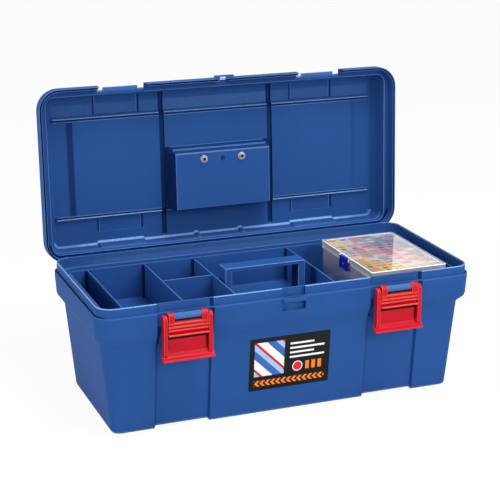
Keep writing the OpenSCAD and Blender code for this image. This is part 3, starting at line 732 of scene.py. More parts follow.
def buildTub():
    t = SimpleNamespace(**tub)
    grime, shine = SimpleNamespace(**t.grime), SimpleNamespace(**t.shine)
    wall, ledge, top, lip, collar = t.wall, t.ledge, t.lipTop, t.lipOut, t.collarOut
    deep, gap, low, scoop, back = t.channelDeep, t.footGap, t.collarLow, t.scoop, lip - t.lipBack
    bendLow, bendHigh = t.channelBend
    waistLow, waist, waistHigh = t.waist
    pair = (-t.latchX, t.latchX)
    spans = {"channel": (pair, t.channelHalf, t.channelSide), "eye": ((0,), t.eyeHalf + 1, 0.8),
             "hinge": (pair, t.hingeHalf, 1.2)}
    zone = {name: zoneAt(*span) for name, span in spans.items()}

    def at(z, inside=0.0):
        return t.foot + t.draft * z - inside

    def wallRow(z, inside=0.0, channel=None, rear=None):
        # a line of the drafted wall
        side = (at(z, inside), z)
        return tubRow(side, side[0], side, channel, None, rear)

    def lipRow(out, z, side=None, channel=None, eye=None, rear=None):
        # a line of the collar or the lip
        return tubRow((out, z), out + t.lipCorner - lip, side or (out, z), channel, eye, rear)

    def channelShade(x, y):
        # painted shade on the sides of the channels
        return grime.channel if y < 0 and 0 < zone["channel"](x) < 1 else 0

    def shaded(x, y):
        # painted shade beside the latches
        gapIn, gapOut = t.latchGap
        beside = abs(abs(abs(x) - t.latchX) - gapOut) < gapOut - gapIn
        return grime.latch if y < 0 and beside else channelShade(x, y)

    def scooped(x, y):
        # painted shade in the recess round the padlock shelf, growing into its far corner
        reach = t.eyeHalf + 2
        if y < 0 and 0 < x < reach:
            return grime.scoop * max(x / reach * 2.2 - 1.2, 0)
        beyond = x - math.copysign(t.latchX, x)
        return shaded(x, y) if beyond > 0 else channelShade(x, y)

    def footLine(x, y):
        # painted shade along the foot of the lip at the ends
        return grime.foot if abs(x) > t.lipEnd else 0

    def lipLine(x, y):
        # painted highlight on the edge of the lip, only faint along the rear and where the latches and the
        # eye sit
        calm = abs(x) < t.lipRear if y > 0 else max(zone["channel"](x), zone["eye"](x)) > 0
        return shine.lipCalm if calm else shine.lip

    # painted highlight on the lip's inner edge, weaker along the rear
    def lipInside(x, y):
        return shine.lipInside[y > 0 and abs(x) < t.lipRear]

    def rearFace(amount):
        # painted light on the lip's inner face along the rear
        full = t.lipRear - t.rearFade
        return lambda x, y: amount * between(x, -full, full, t.rearFade) if y > t.rearY else 0

    # the last values of each row paint highlights and shade
    rows = [
        (tubRow((0, 0), 0, (0, 0), (0, gap), None, (0, gap)), 0, 0),
        (wallRow(0, 0, (at(0) - deep, gap), (at(0), gap)), 3, shine.foot),
        (tubRow((at(t.endWaist), t.endWaist), at(t.endWaist), (at(waistLow), waistLow),
                (at(waistLow) - deep, waistLow)), 6, channelShade, channelShade),
        (tubRow((at(low), low), at(low), (at(waist) + 0.8, waist), (at(bendLow) - deep, bendLow)),
         7, shaded, shaded),
        (lipRow(collar - 1.6, low, (lip + 0.8, waistHigh), (lip, bendHigh)), 7, shaded, shaded),
        (lipRow(collar - 0.8, scoop - 1, (lip + 1.9, scoop - 1), (lip, scoop - 1)), 0, 0, shaded),
        (lipRow(collar - 0.7, scoop, (lip + 2, scoop), (lip, scoop), (lip - 1, scoop)), 0, 0, scooped),
        (lipRow(collar, ledge - 5, None, (lip, ledge - 5), (lip - 1.5, ledge - 5), (lip + 0.6, t.hingeSeat)),
         3, scooped, scooped),
        (lipRow(collar, ledge, None, (lip, ledge), (lip - 1.5, ledge), (lip + 0.6, ledge)),
         1.2, shine.ledge, scooped),
        (lipRow(lip, ledge, None, (back, ledge), (back, ledge)), 0.8, footLine, footLine),
        (lipRow(lip, top, None, (back, top), (back, top)), 1.0, lipLine, scooped),
        (lipRow(lip - wall, top), 0.9, lipInside),
        (lipRow(lip - wall, ledge + 5), 0, 0, rearFace(shine.rear[0])),
        (lipRow(lip - wall, ledge - 2), 0.8, 0, rearFace(shine.rear[1])),
        (wallRow(ledge - 2, wall), 0.9, shine.shoulder),
        (wallRow(t.inside[0], wall), 0, 0),
        (wallRow(t.inside[1], wall, (at(t.inside[1], wall) - t.channelIn, t.inside[1])), 0, 0),
        (wallRow(wall, wall, (at(wall, wall) - t.channelIn, gap + wall), (at(wall, wall), gap + wall)), 5, 0),
        (tubRow((0, wall), 0, (0, wall), (0, gap + wall), None, (0, gap + wall)), 0, 0),
    ]
    zones = [("front", zone["channel"]), ("front", zone["eye"]), ("rear", zone["hinge"])]
    latchSides = [t.latchX + side * t.latchGap[0] for side in (-1, 1)]
    xs = stationsOf(spans, latchSides + t.gridX)
    bm = newPiece()
    addShell(bm, rows, xs, t.gridY, zones)

    pivot = jointPlace("latch_right_pivot")
    armLow, rootLow, armHigh = [pivot.z + rise for rise in t.barrelArm]
    arm = [(pivot.y, armLow), (-t.root, rootLow), (-t.root, armHigh), (pivot.y, armHigh)]
    for x in pair:
        half = t.barrelHalf
        # painted highlight on the barrel, painted shade on its arm
        prism(bm, circlePoints(pivot.y, pivot.z, t.barrelR), x - half, x + half, "x", 0.6, 1, 2, shine.barrel)
        prism(bm, arm, x - half + 0.4, x + half - 0.4, "x", 0.4, 0, 2, grime.barrelArm)
        half = t.knuckleHalf
        prism(bm, circlePoints(hinge.y, hinge.z, t.knuckleR), x - half, x + half)
        prism(bm, [(y, hinge.z + z) for y, z in t.hingeArm], x - half + 0.3, x + half - 0.3, "x", 0.7)
    slottedPlate(bm, (-t.shelfHalf, t.shelfFront, t.shelfLow), (t.shelfHalf, -t.root, ledge - 0.2),
                 (-t.slotHalf, t.slotY[0], t.slotHalf, t.slotY[1]), 0.5, shine.lipCalm)
    feet = [(side * t.ribX, y, wall - 0.5) for side in (-1, 1) for y in t.ribY]
    sizes = {"Width": t.ribWide, "Depth": wall, "Height": t.ribTop - wall, "Round": t.ribRound}
    addGrown(bm, trees["ribs"], feet, sizes, "shell_blue")
    finishPiece(bm, "tubShell", "tub", "shell_blue", ["tub"])


buildTub()
print("tub done")


# Label on the front

label = {"corner": 2.5, "leastThick": 0.35, "bevel": 0.12}


def buildLabel():
    low, high = nodeBox("front_label")
    tilt = math.atan(tub["draft"])
    rise = high[2] - low[2]
    thick = max(high[1] - low[1] - rise * math.tan(tilt), label["leastThick"])
    halfX, halfZ = high[0], rise / 2 / math.cos(tilt)
    bm = newPiece()
    outline = roundedPoints(rectangle(-halfX, -halfZ, halfX, halfZ), label["corner"])
    prism(bm, outline, -thick / 2, thick / 2, "y", label["bevel"], 0)
    place = Matrix.Translation(Vector((low + high) / 2)) @ Matrix.Rotation(tilt, 4, "X")
    finishPiece(bm, "frontLabel", "tub", "label_print", ["front_label"], place)


buildLabel()
print("label done")


# Lid, built closed and swung open

lid = {
    "rim": 162.5, "endX": 262, "front": -118.5, "rear": 118, "corner": 29, "wall": 3.0, "skirt": 12.5,
    "edge": 4.2, "edgeFront": 3.9, "edgeRear": 3.4, "rimGroove": (1.6, 3.5), "rimDeep": 5,
    "height": 42, "rise": 3.5, "topX": (252.5, 249, 243), "topY": (-109, 112.5), "lean": (1.5, 2.5),
    "topCorner": 14, "chamfer": 11.5, "flat": 5.0, "wallLines": (12, 6),
    "panelX": 208, "panelSlope": 8.0, "panelY": (-72.2, 68.2), "bead": 0.9, "beadGap": 2.0, "beadSoft": 0.5,
    "beadLow": 0.3, "gapSunk": 1.6, "grooveX": 80.6, "grooveHalf": 3, "grooveDeep": 2.5, "grooveSoft": 0.7,
    "ribHalf": 5, "latchHalf": 32.5, "slotHalf": 6.5, "slotBack": -114.7, "notchHalf": 12.5, "notch": 4.8,
    "bands": (3, 2, 21), "recess": 0.9, "moat": (1.1, 0.7, 0.4), "moatDark": (-2.2, 0.8), "moatLight": -3.2,
    "pocket": {"half": 69.7, "lean": 7.3, "y": (-15, 65), "slope": 7.7, "face": 14.4, "rounds": (2.2, 1.0),
               "steps": ((0, 0), (0.12, 0.03), (0.37, 0.45), (0.63, 0.53), (0.9, 0.96), (1, 1))},
    "catch": {"half": 24.5, "low": 15, "high": 17.5, "y": (-115.3, -108.3)},
    "eye": {"half": 14, "front": -122.5, "high": 4.5},
    "knuckle": (12.4, 29.5), "knuckleR": 5.2, "button": (3.0, 1.5, -5.5), "pads": (33, 33.5, 2.6),
    "rearY": 98, "rearShine": (185, 30), "bandFrom": -90, "crownIn": 2.6, "bendIn": 2,
    "gridX": [0, 20, 40, 100, 190, 225], "gridY": [-50, -35, 10, 30, 80],
    # painted highlight above 0 and painted shade below 0 on the lid
    "tones": {"rearWall": -0.05, "rearEdge": (0.9, 1.1), "rearBead": 0.3, "step": (-0.85, -0.2), "rim": -0.9,
              "pocketSide": -0.8, "pocketSteps": (0.5, -0.5, 0.4, -0.5, 0.8), "pocketEdge": 0.5,
              "groove": -0.75, "bead": (1.9, 0.9), "gap": -0.7, "slope": (-0.55, -0.1), "moat": (-0.55, 0.6),
              "band": (0.26, 0.14), "catch": (1.2, 0.3), "button": -0.6},
}
pocketRamp = 0.2  # how far out the pocket's wall leans between its rounded edges


def pocketShare(out, depth, inner, outer):
    # share of the pocket's depth at a distance outside its edge, with both edges rounded
    if out <= -inner:
        return 1.0
    if out <= 0:
        return 1 - (inner - math.sqrt(max(inner ** 2 - (inner + out) ** 2, 0))) / depth
    if out <= pocketRamp:
        return 1 - inner / depth + (out / pocketRamp) * ((inner + outer) / depth - 1)
    out -= pocketRamp
    if out < outer:
        return (outer - math.sqrt(max(outer ** 2 - (outer - out) ** 2, 0))) / depth
    return 0.0


def pocketStations(edge, inner, outer):
    within = [edge - share * inner for share in (1, 0.75, 0.45, 0.2, 0.05, 0)]
    return within + [edge + pocketRamp + share * outer for share in (0, 0.1, 0.4, 1)]


def spanAt(middle, way, near, far):
    # from near to far out from a middle, towards one side
    return sorted((middle + way * near, middle + way * far))


def buildLid():
    d = SimpleNamespace(**lid)
    pocket, tones = SimpleNamespace(**d.pocket), SimpleNamespace(**d.tones)
    wall, skirt, rim, edge, corner = d.wall, d.skirt, d.rim, d.edge, d.topCorner
    top, brim = d.height + d.rise, skirt + wall
    foot, bend, crown = d.topX
    inTop, inPanel = top - wall, d.height - wall
    inBend, inCrown = top - d.chamfer - d.bendIn, crown - d.crownIn
    near, far = d.topY
    leanNear, leanFar = d.lean
    grooveOut, grooveIn = d.rimGroove
    padHalf, bumpX, pad = d.pads
    cut = near - 0.5

    def lidRow(end, corner, front, rear, latch=None, slot=None, notch=None, pad=0):
        # pairs are (place, height over the rim)
        cutY, cutZ = latch or front
        pairs = (front, rear, (front[0], cutZ), (cutY, front[1]), slot or front, notch or rear,
                 (rear[0] - pad, rear[1]))
        return [end[0], rim + end[1], corner] + [value for y, h in pairs for value in (y, rim + h)]

    def leaned(h, inset=0.0):
        # front and rear wall of the raised top at a height
        share = (h - skirt) / (top - skirt)
        return (near + inset + leanNear * share, h), (far - inset - leanFar * share, h)

    def topRow(x, corner, h, inset, pad=0):
        # a line round the flat of the raised top
        return lidRow((x, h), corner, (near + leanNear + inset, h), (far - leanFar - inset, h), pad=pad)

    def wallRow(h):
        # a line of the inner wall from its bend to its foot
        share = (h - skirt) / (inBend - skirt)
        return lidRow((foot - wall + share * (bend - foot), h), corner - 3, *leaned(h, wall), pad=pad * share)

    def rimRow(inset, h, lift=0.0):
        # a step of the rim, so far in from its outer face; it runs into the flange where the front is cut
        share = inset / edge
        yFront, yRear = d.front + share * d.edgeFront, d.rear - share * d.edgeRear
        return lidRow((d.endX - inset, h), d.corner - inset, (yFront, h), (yRear, h), (cut, skirt + lift),
                      (d.slotBack, skirt + lift), (yRear, max(h, d.notch)))

    # painted light or shade along the rear only
    def rearTone(rear, other=0):
        return lambda x, y: rear if y > d.rearY else other

    # painted highlight along the rear fillet, strongest in the middle
    def rearEdge(x, y):
        least, more = tones.rearEdge
        half, fade = d.rearShine
        return least + more * between(x, -half, half, fade) if y > d.rearY else 0

    rearWall = rearTone(tones.rearWall)
    # row shines paint highlights on the fillets; the rear step and the rim groove are painted shade
    rows = [
        (topRow(inCrown - d.flat, 0, inTop, wall + d.flat, pad), 0, 0),
        (topRow(inCrown, corner - 5, inTop, wall, pad), 3.4, rearEdge),
        (wallRow(inBend), 1.5, rearWall, rearWall),
        (wallRow(skirt + d.wallLines[0]), 0, 0, rearWall),
        (wallRow(skirt + d.wallLines[1]), 0, 0, rearTone(tones.rearBead)),
        (wallRow(skirt), 0.8, 0.8, rearWall),
        (rimRow(edge, skirt), 0.6, 0, rearTone(*tones.step)),
        (rimRow(edge, 0, 0.1), 0.3, 0.6),
        (rimRow(grooveIn, 0, 0.13), 0.2, 0.4, 0.6),
        (rimRow(grooveIn, d.rimDeep, 0.16), 0, 0, tones.rim),
        (rimRow(grooveOut, d.rimDeep, 0.19), 0, 0, tones.rim),
        (rimRow(grooveOut, 0, 0.22), 0.25, 0.3, tones.rim),
        (rimRow(0, 0, 0.3), 0.7, 0.3, 0.3),
        (lidRow((d.endX, brim), d.corner, (d.front, brim), (d.rear, brim), (cut, brim - 0.1),
                (d.slotBack, brim - 0.1)), 2, 0.5),
        (lidRow((foot, brim), corner, *leaned(brim)), 1.2, 0),
        (lidRow((bend, top - d.chamfer), corner, *leaned(top - d.chamfer)), 2, 0),
        (topRow(crown, corner - 4, top, 0), 3, 0.3),
        (topRow(crown - d.flat, 0, top, d.flat), 0, 0),
    ]
    pair, grooves = (-tub["latchX"], tub["latchX"]), (-d.grooveX, d.grooveX)
    moatIn, moatHalf, moatSoft = d.moat
    moats = [c + s * (d.latchHalf - moatIn) for c in pair for s in (-1, 1)]
    spans = {
        "cutHigh": (pair, d.latchHalf + 0.5, 0.5), "cut": (pair, d.latchHalf, 0.5),
        "slot": ((0,), d.slotHalf, 0.4), "notch": (pair, d.notchHalf, 0.4), "pad": (pair, padHalf, 1.5),
        "bump": ((-bumpX, bumpX), 2.5, 1.5), "latch": (pair, d.latchHalf, 0.8),
        "moat": (moats, moatHalf, moatSoft),
        "groove": (grooves, d.grooveHalf, d.grooveSoft), "rib": (grooves, d.ribHalf, d.grooveSoft),
    }
    zone = {name: zoneAt(*span) for name, span in spans.items()}
    zones = [("front", zone[name]) for name in ("cutHigh", "cut", "slot")]
    zones += [("rear", zone["notch"]), ("rear", lambda x: max(zone["pad"](x), zone["bump"](x)))]

    inner, outer = pocket.rounds
    p0, p1 = pocket.y
    panelX, slope, (y0, y1) = d.panelX, d.panelSlope, d.panelY
    bead, gap, soft = d.bead, d.beadGap, d.beadSoft
    second = bead + 2 * soft + gap  # from the first bead to the next
    beads = [(y0, y0 + bead), (y1 - bead, y1),
             (y0 + second, y0 + second + bead), (y1 - second - bead, y1 - second)]
    gaps = [(y0 + bead + soft, y0 + bead + soft + gap), (y1 - bead - soft - gap, y1 - bead - soft)]
    bandNear, bandStart, bandEnd = d.bands
    bands = [(near, y0 - bandNear), (y1 + bandStart, y1 + bandEnd)]

    def pocketDepth(x, y, inset, edge, corner, depth):
        # how far the pocket reaches into the lid at a point of the panel
        across = between(x, inset - pocket.half, pocket.half - inset, pocket.lean)
        rearShare = pocketShare(y - p1 + inset, depth, edge, corner)
        frontShare = float(np.interp((y - p0 - inset) / pocket.slope + 1, *zip(*pocket.steps)))
        return depth * across * rearShare * frontShare

    def innerHeight(x, y):
        raised = between(x, -panelX, panelX, slope) * between(y, y0, y1, soft)
        sunk = d.gapSunk * max(between(y, *line, soft) for line in gaps)
        h = inTop - (d.rise - sunk) * raised
        for line in beads:
            h += (inPanel - d.beadLow - h) * between(y, *line, soft)
        h += d.grooveDeep * zone["groove"](x)
        h += d.recess * (zone["latch"](x) + zone["moat"](x)) * max(between(y, *line, soft) for line in bands)
        return rim + h - pocketDepth(x, y, 0, inner, outer, inPanel - pocket.face)

    def outerHeight(x, y):
        sunk = between(x, 1.5 - panelX, panelX - 1.5, slope) * between(y, y0 + wall, y1 - wall, soft)
        h = top - (d.rise - d.grooveDeep * zone["rib"](x)) * sunk
        return rim + h - pocketDepth(x, y, wall, outer, inner, d.height - pocket.face - wall)

    def innerPaintedLight(x, y):
        # painted highlights on the beads and the pocket's edges, painted shade in the grooves and steps; also
        # painted light and shade on the slopes, bands and round the latches
        share = (y - p0) / pocket.slope + 1
        if abs(x) < pocket.half + pocket.lean and -0.05 < share and y < p1:
            if abs(x) > pocket.half:
                return tones.pocketSide
            if share < 1.15:
                return tones.pocketSteps[sum(share > limit for limit, _ in pocket.steps[1:-1])]
            return tones.pocketEdge if abs(x) > pocket.half - 1 else 0
        if zone["groove"](x) > 0:
            return tones.groove
        if any(low - soft < y < high + soft for low, high in beads[:2]):
            return tones.bead[0]
        if any(low < y < high for low, high in beads[2:]):
            return tones.bead[1]
        if any(low < y < high for low, high in gaps):
            return tones.gap
        if y0 < y < y1 and panelX < abs(x) < panelX + slope:
            return tones.slope[x > 0]
        if any(low < y < high for low, high in bands):
            out = min(abs(x - c) for c in pair) - d.latchHalf
            if d.moatDark[0] < out < d.moatDark[1]:
                return tones.moat[0]
            if d.moatLight < out < d.moatDark[0]:
                return tones.moat[1]
        # painted light on the front band
        if d.bandFrom < y < y0 - bandNear:
            return tones.band[abs(x) >= d.grooveX]
        return 0

    xs = stationsOf(spans, [tub["latchX"] + s * (d.latchHalf + d.moatLight) for s in (-1, 1)]
                    + [panelX + share * slope for share in (-0.2, 0, 0.5, 1)] + d.gridX
                    + [pocket.half + out for out in (-wall, -1, 0)]
                    + [pocket.half + pocket.lean + out for out in (-wall, 0, 1)])
    lines = beads + gaps + bands[1:] + [(y0 + wall, y1 - wall)]
    ys = [low - out * soft for low, _ in lines for out in (0, 0.5, 1)]
    ys += [high + out * soft for _, high in lines for out in (0, 0.5, 1)]
    ys += [y0 - bandNear, y0 - bandNear + soft, d.bandFrom, p0 - pocket.slope - 1.5, p0 + 1.15] + d.gridY
    ys += [p0 + (share - 1) * pocket.slope + inset for share, _ in pocket.steps for inset in (0, wall)]
    ys += pocketStations(p1, inner, outer) + pocketStations(p1 - wall, outer, inner)
    ys = sorted({round(y, 3) for y in ys})
    bm = newPiece()
    addShell(bm, rows, xs, ys, zones, 9, (innerHeight, outerHeight), innerPaintedLight)

    catch, eye = SimpleNamespace(**d.catch), SimpleNamespace(**d.eye)
    hook = rectangle(catch.y[0], rim + catch.low, catch.y[1], rim + catch.high)
    root = d.rear - wall
    arm = [(root, rim), (hinge.y, rim), (hinge.y, rim + 2.2), (root + 3.4, rim + 6.2), (root, rim + 6.2)]
    # the catches carry a painted highlight
    shine, tone = tones.catch
    for x in pair:
        prism(bm, hook, x - catch.half, x + catch.half, "x", 0.6, shine, 2, tone)
        for way in (-1, 1):
            low, high = spanAt(x, way, *d.knuckle)
            prism(bm, circlePoints(hinge.y, hinge.z, d.knuckleR), low, high)
            prism(bm, arm, low + 0.2, high - 0.2, "x", 0.5)
    slottedPlate(bm, (-eye.half, eye.front, rim), (eye.half, d.front + 1.0, rim + eye.high),
                 (-d.slotHalf, tub["slotY"][0], d.slotHalf, d.front + 0.4), 0.5)
    radius, rise, y = d.button
    face = Matrix.Translation((0, y, rim + pocket.face)) @ Matrix.Rotation(math.pi, 4, "X")
    profile = [(0, -0.5), (radius, -0.5), (radius, rise - 0.6), (radius - 0.6, rise), (0, rise)]
    # the button is painted dark as shade
    lathe(bm, profile, face, shine=tones.button)
    finishPiece(bm, "lidShell", "lid", "shell_blue", ["lid"], openLid)


buildLid()
print("lid done")


# Handle on the lid's far side, with the screws that hold it

handle = {
    "pivot": (-5.5, 189.5), "bracketHalf": 46, "bracketDeep": 6, "bracketLow": 179.9, "bracketHigh": 196,
    "bossHalf": 7, "bossHigh": 187, "arm": (48, 60), "heel": 7.5, "armStart": 16, "reach": 53.5, "armHalf": 6,
    "grip": 9.5, "gripEnds": ((1.6, 0), (0.4, 0.5), (0, 1.6)), "gripWaves": 4, "waveDeep": 0.55,
    "waveSteps": 40,
    "screwX": 28, "headR": 3.8, "headH": 1.8, "socketR": 2.5, "washerR": 5.4, "washerH": 0.8, "shankR": 2.0,
    "shankEnd": 9.0,
}


def buildHandle():
    h = SimpleNamespace(**handle)
    y, z = h.pivot
    near, far, half = y + h.armStart, y + h.reach, h.arm[1]
    bm = newPiece()
    block = rectangle(y - h.bracketDeep, h.bracketLow, y + h.bracketDeep, h.bracketHigh)
    prism(bm, roundedPoints(block, 3.5), -h.bracketHalf, h.bracketHalf, "x", 0.8)
    for x in (-h.screwX, 0, h.screwX):
        boss = rectangle(x - h.bossHalf, y - h.bracketDeep, x + h.bossHalf, y + h.bracketDeep)
        prism(bm, roundedPoints(boss, 2), h.bracketLow, h.bossHigh, "z", 0.5)
    finishPiece(bm, "handleBracket", "lid", "shell_blue", ["handle_bracket"], openLid)

    bm = newPiece()
    turns = [math.radians(angle) for angle in range(90, 271, 15)]
    heel = [(y + h.heel * math.cos(turn), z + h.heel * math.sin(turn)) for turn in turns]
    for side in (-1, 1):
        prism(bm, heel + rectangle(near, z - h.armHalf, far, z + h.armHalf), *spanAt(0, side, *h.arm),
              "x", 1.4, 0.8, 3)
    profile = [(0, -half)] + [(h.grip - inset, step - half) for inset, step in h.gripEnds]
    for k in range(h.waveSteps + 1):
        x = -half + 4 + k * (2 * half - 8) / h.waveSteps
        wave = 0.5 - 0.5 * math.cos(math.pi * h.gripWaves * (x + half) / half)
        profile.append((h.grip - h.waveDeep * wave * (abs(x) < half - 10), x))
    profile += [(h.grip - inset, half - step) for inset, step in reversed(h.gripEnds)] + [(0, half)]
    lathe(bm, profile, Matrix.Translation((0, far, z)) @ Matrix.Rotation(math.pi / 2, 4, "Y"), 40)
    finishPiece(bm, "carryHandle", "handle", "shell_blue", ["carry_handle"], openLid)


def templateObject(bm, name):
    mesh = bpy.data.meshes.new(name)
    bmesh.ops.recalc_face_normals(bm, faces=bm.faces)
    bmesh.ops.remove_doubles(bm, verts=bm.verts, dist=weld)
    bm.to_mesh(mesh)
    bm.free()
    return bpy.data.objects.new(name, mesh)


def buildScrews():
    h = SimpleNamespace(**handle)
    points = [(side * h.screwX, h.pivot[0], lid["rim"] + lid["pocket"]["face"]) for side in (-1, 1)]
    under = -h.washerH
    flat = under - h.headH + 0.25
    bm = newPiece()

    def ringAt(radius, z, sides=32):
        return [bm.verts.new((a, b, z)) for a, b in circlePoints(0, 0, radius, sides)]

    ring = ringAt(h.headR - 0.7, flat)
    mouth, low = ringAt(h.socketR, flat, 6), ringAt(0.9 * h.socketR, flat + 1.3, 6)
    edges = [bm.edges.new(ends) for loop in (ring, mouth) for ends in zip(loop, loop[1:] + loop[:1])]
    bmesh.ops.triangle_fill(bm, edges=edges, use_beauty=True)
    # the socket is painted dark as shade
    tint(bm, bridge(bm, mouth, low) + [bm.faces.new(low)], -1)
    profile = ((h.headR - 0.3, flat + 0.12), (h.headR, flat + 0.6), (h.headR, under), (h.shankR, under),
               (h.shankR, h.shankEnd))
    loops = [ring] + [ringAt(*point) for point in profile]
    for lower, upper in zip(loops, loops[1:]):
        bridge(bm, lower, upper)
    bm.faces.new(loops[-1])
    screw = templateObject(bm, "screwTemplate")

    bm = newPiece()
    out, hole = h.washerR, h.shankR + 0.1
    lathe(bm, [(hole, 0), (out, 0), (out, under + 0.25), (out - 0.25, under), (hole + 0.2, under),
               (hole, under + 0.2), (hole, 0)], Matrix())
    washer = templateObject(bm, "washerTemplate")

    for part, name, node in ((screw, "handleScrews", "handle_screws"),
                             (washer, "handleWashers", "handle_washers")):
        bm = newPiece()
        addGrown(bm, trees["copies"], points, {"Part": part}, "screw_steel")
        finishPiece(bm, name, "lid", "screw_steel", [node], openLid)
        bpy.data.objects.remove(part)


buildHandle()
buildScrews()
print("handle done")


# Latches

latch = {
    "rail": (27, 32), "plate": (-120, -117.5), "low": 102, "ear": (18, 25.5), "earR": 5,
    "railOutline": ((-117.2, 105), (-121.5, 104), (-124.5, 107), (-125.6, 114), (-126, 130), (-126, 156.5),
                    (-122.5, 160), (-117.2, 160)),
    "block": -123.5, "blockHalf": 26, "hook": (133.4, 135.8), "hookTip": -128.5, "lipHalf": 34,
    # the ridges carry a painted highlight; undercut and margin size the painted shadows under the hook and
    # beside the rails
    "ridges": (139.6, 144.4, 149.2), "ridgeR": 1.7, "ridgeY": -123.8, "ridgeShine": 0.6,
    "undercut": 5.8, "margin": 2.6, "marginTone": -0.85,
}


def buildLatch(name, body):
    c = SimpleNamespace(**latch)
    x, y, z = jointPlace(body + "_pivot")
    plate, back = c.plate
    low, high = c.hook
    inside, sunk, half, tip = back - 0.8, plate - 0.2, c.blockHalf, c.hookTip
    railIn, railOut = c.rail
    bm = newPiece()
    arm = [(y - 4.2, z - 13), (back - 0.3, z - 13), (back - 0.3, z - 1), (y, z + 1), (y - 4.6, z - 1)]
    for way in (-1, 1):
        prism(bm, roundedPoints(c.railOutline, 2.2, 3), *spanAt(x, way, railIn, railOut), "x", 1.1, 1, 3)
        ear = spanAt(x, way, *c.ear)
        prism(bm, circlePoints(y, z, c.earR), *ear, "x", 0.7)
        prism(bm, arm, *ear, "x", 0.6, 0.7)
    prism(bm, rectangle(plate, c.low + 2, back, z - 8), x - railOut + 0.5, x + railOut - 0.5, "x", 0.4, 0.5)
    face = c.block
    block = [(face, low + 0.5), (inside, low + 0.5), (inside, z - 6), (face + 1.5, z - 6), (face, z - 8)]
    prism(bm, block, x - half, x + half, "x", 0.5, 0.6)
    hook = [(y, low), (tip + 0.9, low), (tip, low + 0.9), (tip, high - 0.6), (tip + 0.6, high), (y, high)]
    prism(bm, hook, x - half, x + half, "x", 0.45)
    lip = [(inside, z - 48.5), (sunk, z - 47.5), (y - 0.8, z - 50.3), (y - 3, z - 53), (y - 7.6, z - 55.4),
           (y - 7.6, z - 57.6), (y - 3, z - 57.2), (inside, z - 54.6)]
    prism(bm, roundedPoints(lip, 1.2, 3), x - c.lipHalf, x + c.lipHalf, "x", 0.7, 0.5, 3)
    barrel = tub["barrelHalf"] - 0.6
    # dark plates of painted shadow: under the barrel, under the hook, beside the rails and between ears and
    # rails
    darkPlate(bm, (x - barrel, y - 1.3, z - 6.3), (x + barrel, inside, z - 4.5))
    darkPlate(bm, (x - half, sunk, low - c.undercut), (x + half, inside, low + 1))
    for way in (-1, 1):
        left, right = spanAt(x, way, railIn - c.margin, railIn + 0.5)
        darkPlate(bm, (left, sunk, z - 45), (right, inside, low), c.marginTone)
        left, right = spanAt(x, way, c.ear[1], railIn + 0.5)
        darkPlate(bm, (left, y - 3, z - 20), (right, inside, z - 1))
    # the ridges carry a painted highlight
    sizes = {"Length": 2.0 * half, "Radius": c.ridgeR}
    addGrown(bm, trees["ridges"], [(x, c.ridgeY, h) for h in c.ridges], sizes, "latch_red", c.ridgeShine)
    finishPiece(bm, name, body, "latch_red", [body])


buildLatch("latchLeft", "latch_left")
buildLatch("latchRight", "latch_right")
print("latches done")


# Tray and its loose dividers

tray = {
    "half": (240, 99.5), "low": 107, "top": 158.3, "wall": 2.0, "corner": 10,
    # edge paints highlights along the top; the slot ribs and the grip's hollow are painted shade
    "slotRib": 2.8, "slotDeep": 2.5, "slotGap": 0.25, "slotRound": 0.6, "slotTone": -0.8, "edge": (1, 0.25),
    "grip": {"x": 2.5, "half": 57, "y": 12, "post": 9.5, "bar": 5, "top": 173.5, "hollow": -0.85},
}
dividers = {
    "tray_divider_end": "divider_end", "tray_divider_left": "divider_left",
    "tray_divider_middle": "divider_middle", "tray_divider_right": "divider_right",
    "tray_cross_divider": "divider_cross",
}


def boxRow(half, inset, corner, z):
    endX, sideY = half[0] - inset, half[1] - inset
    return (endX, z, corner, -sideY, z, sideY, z)


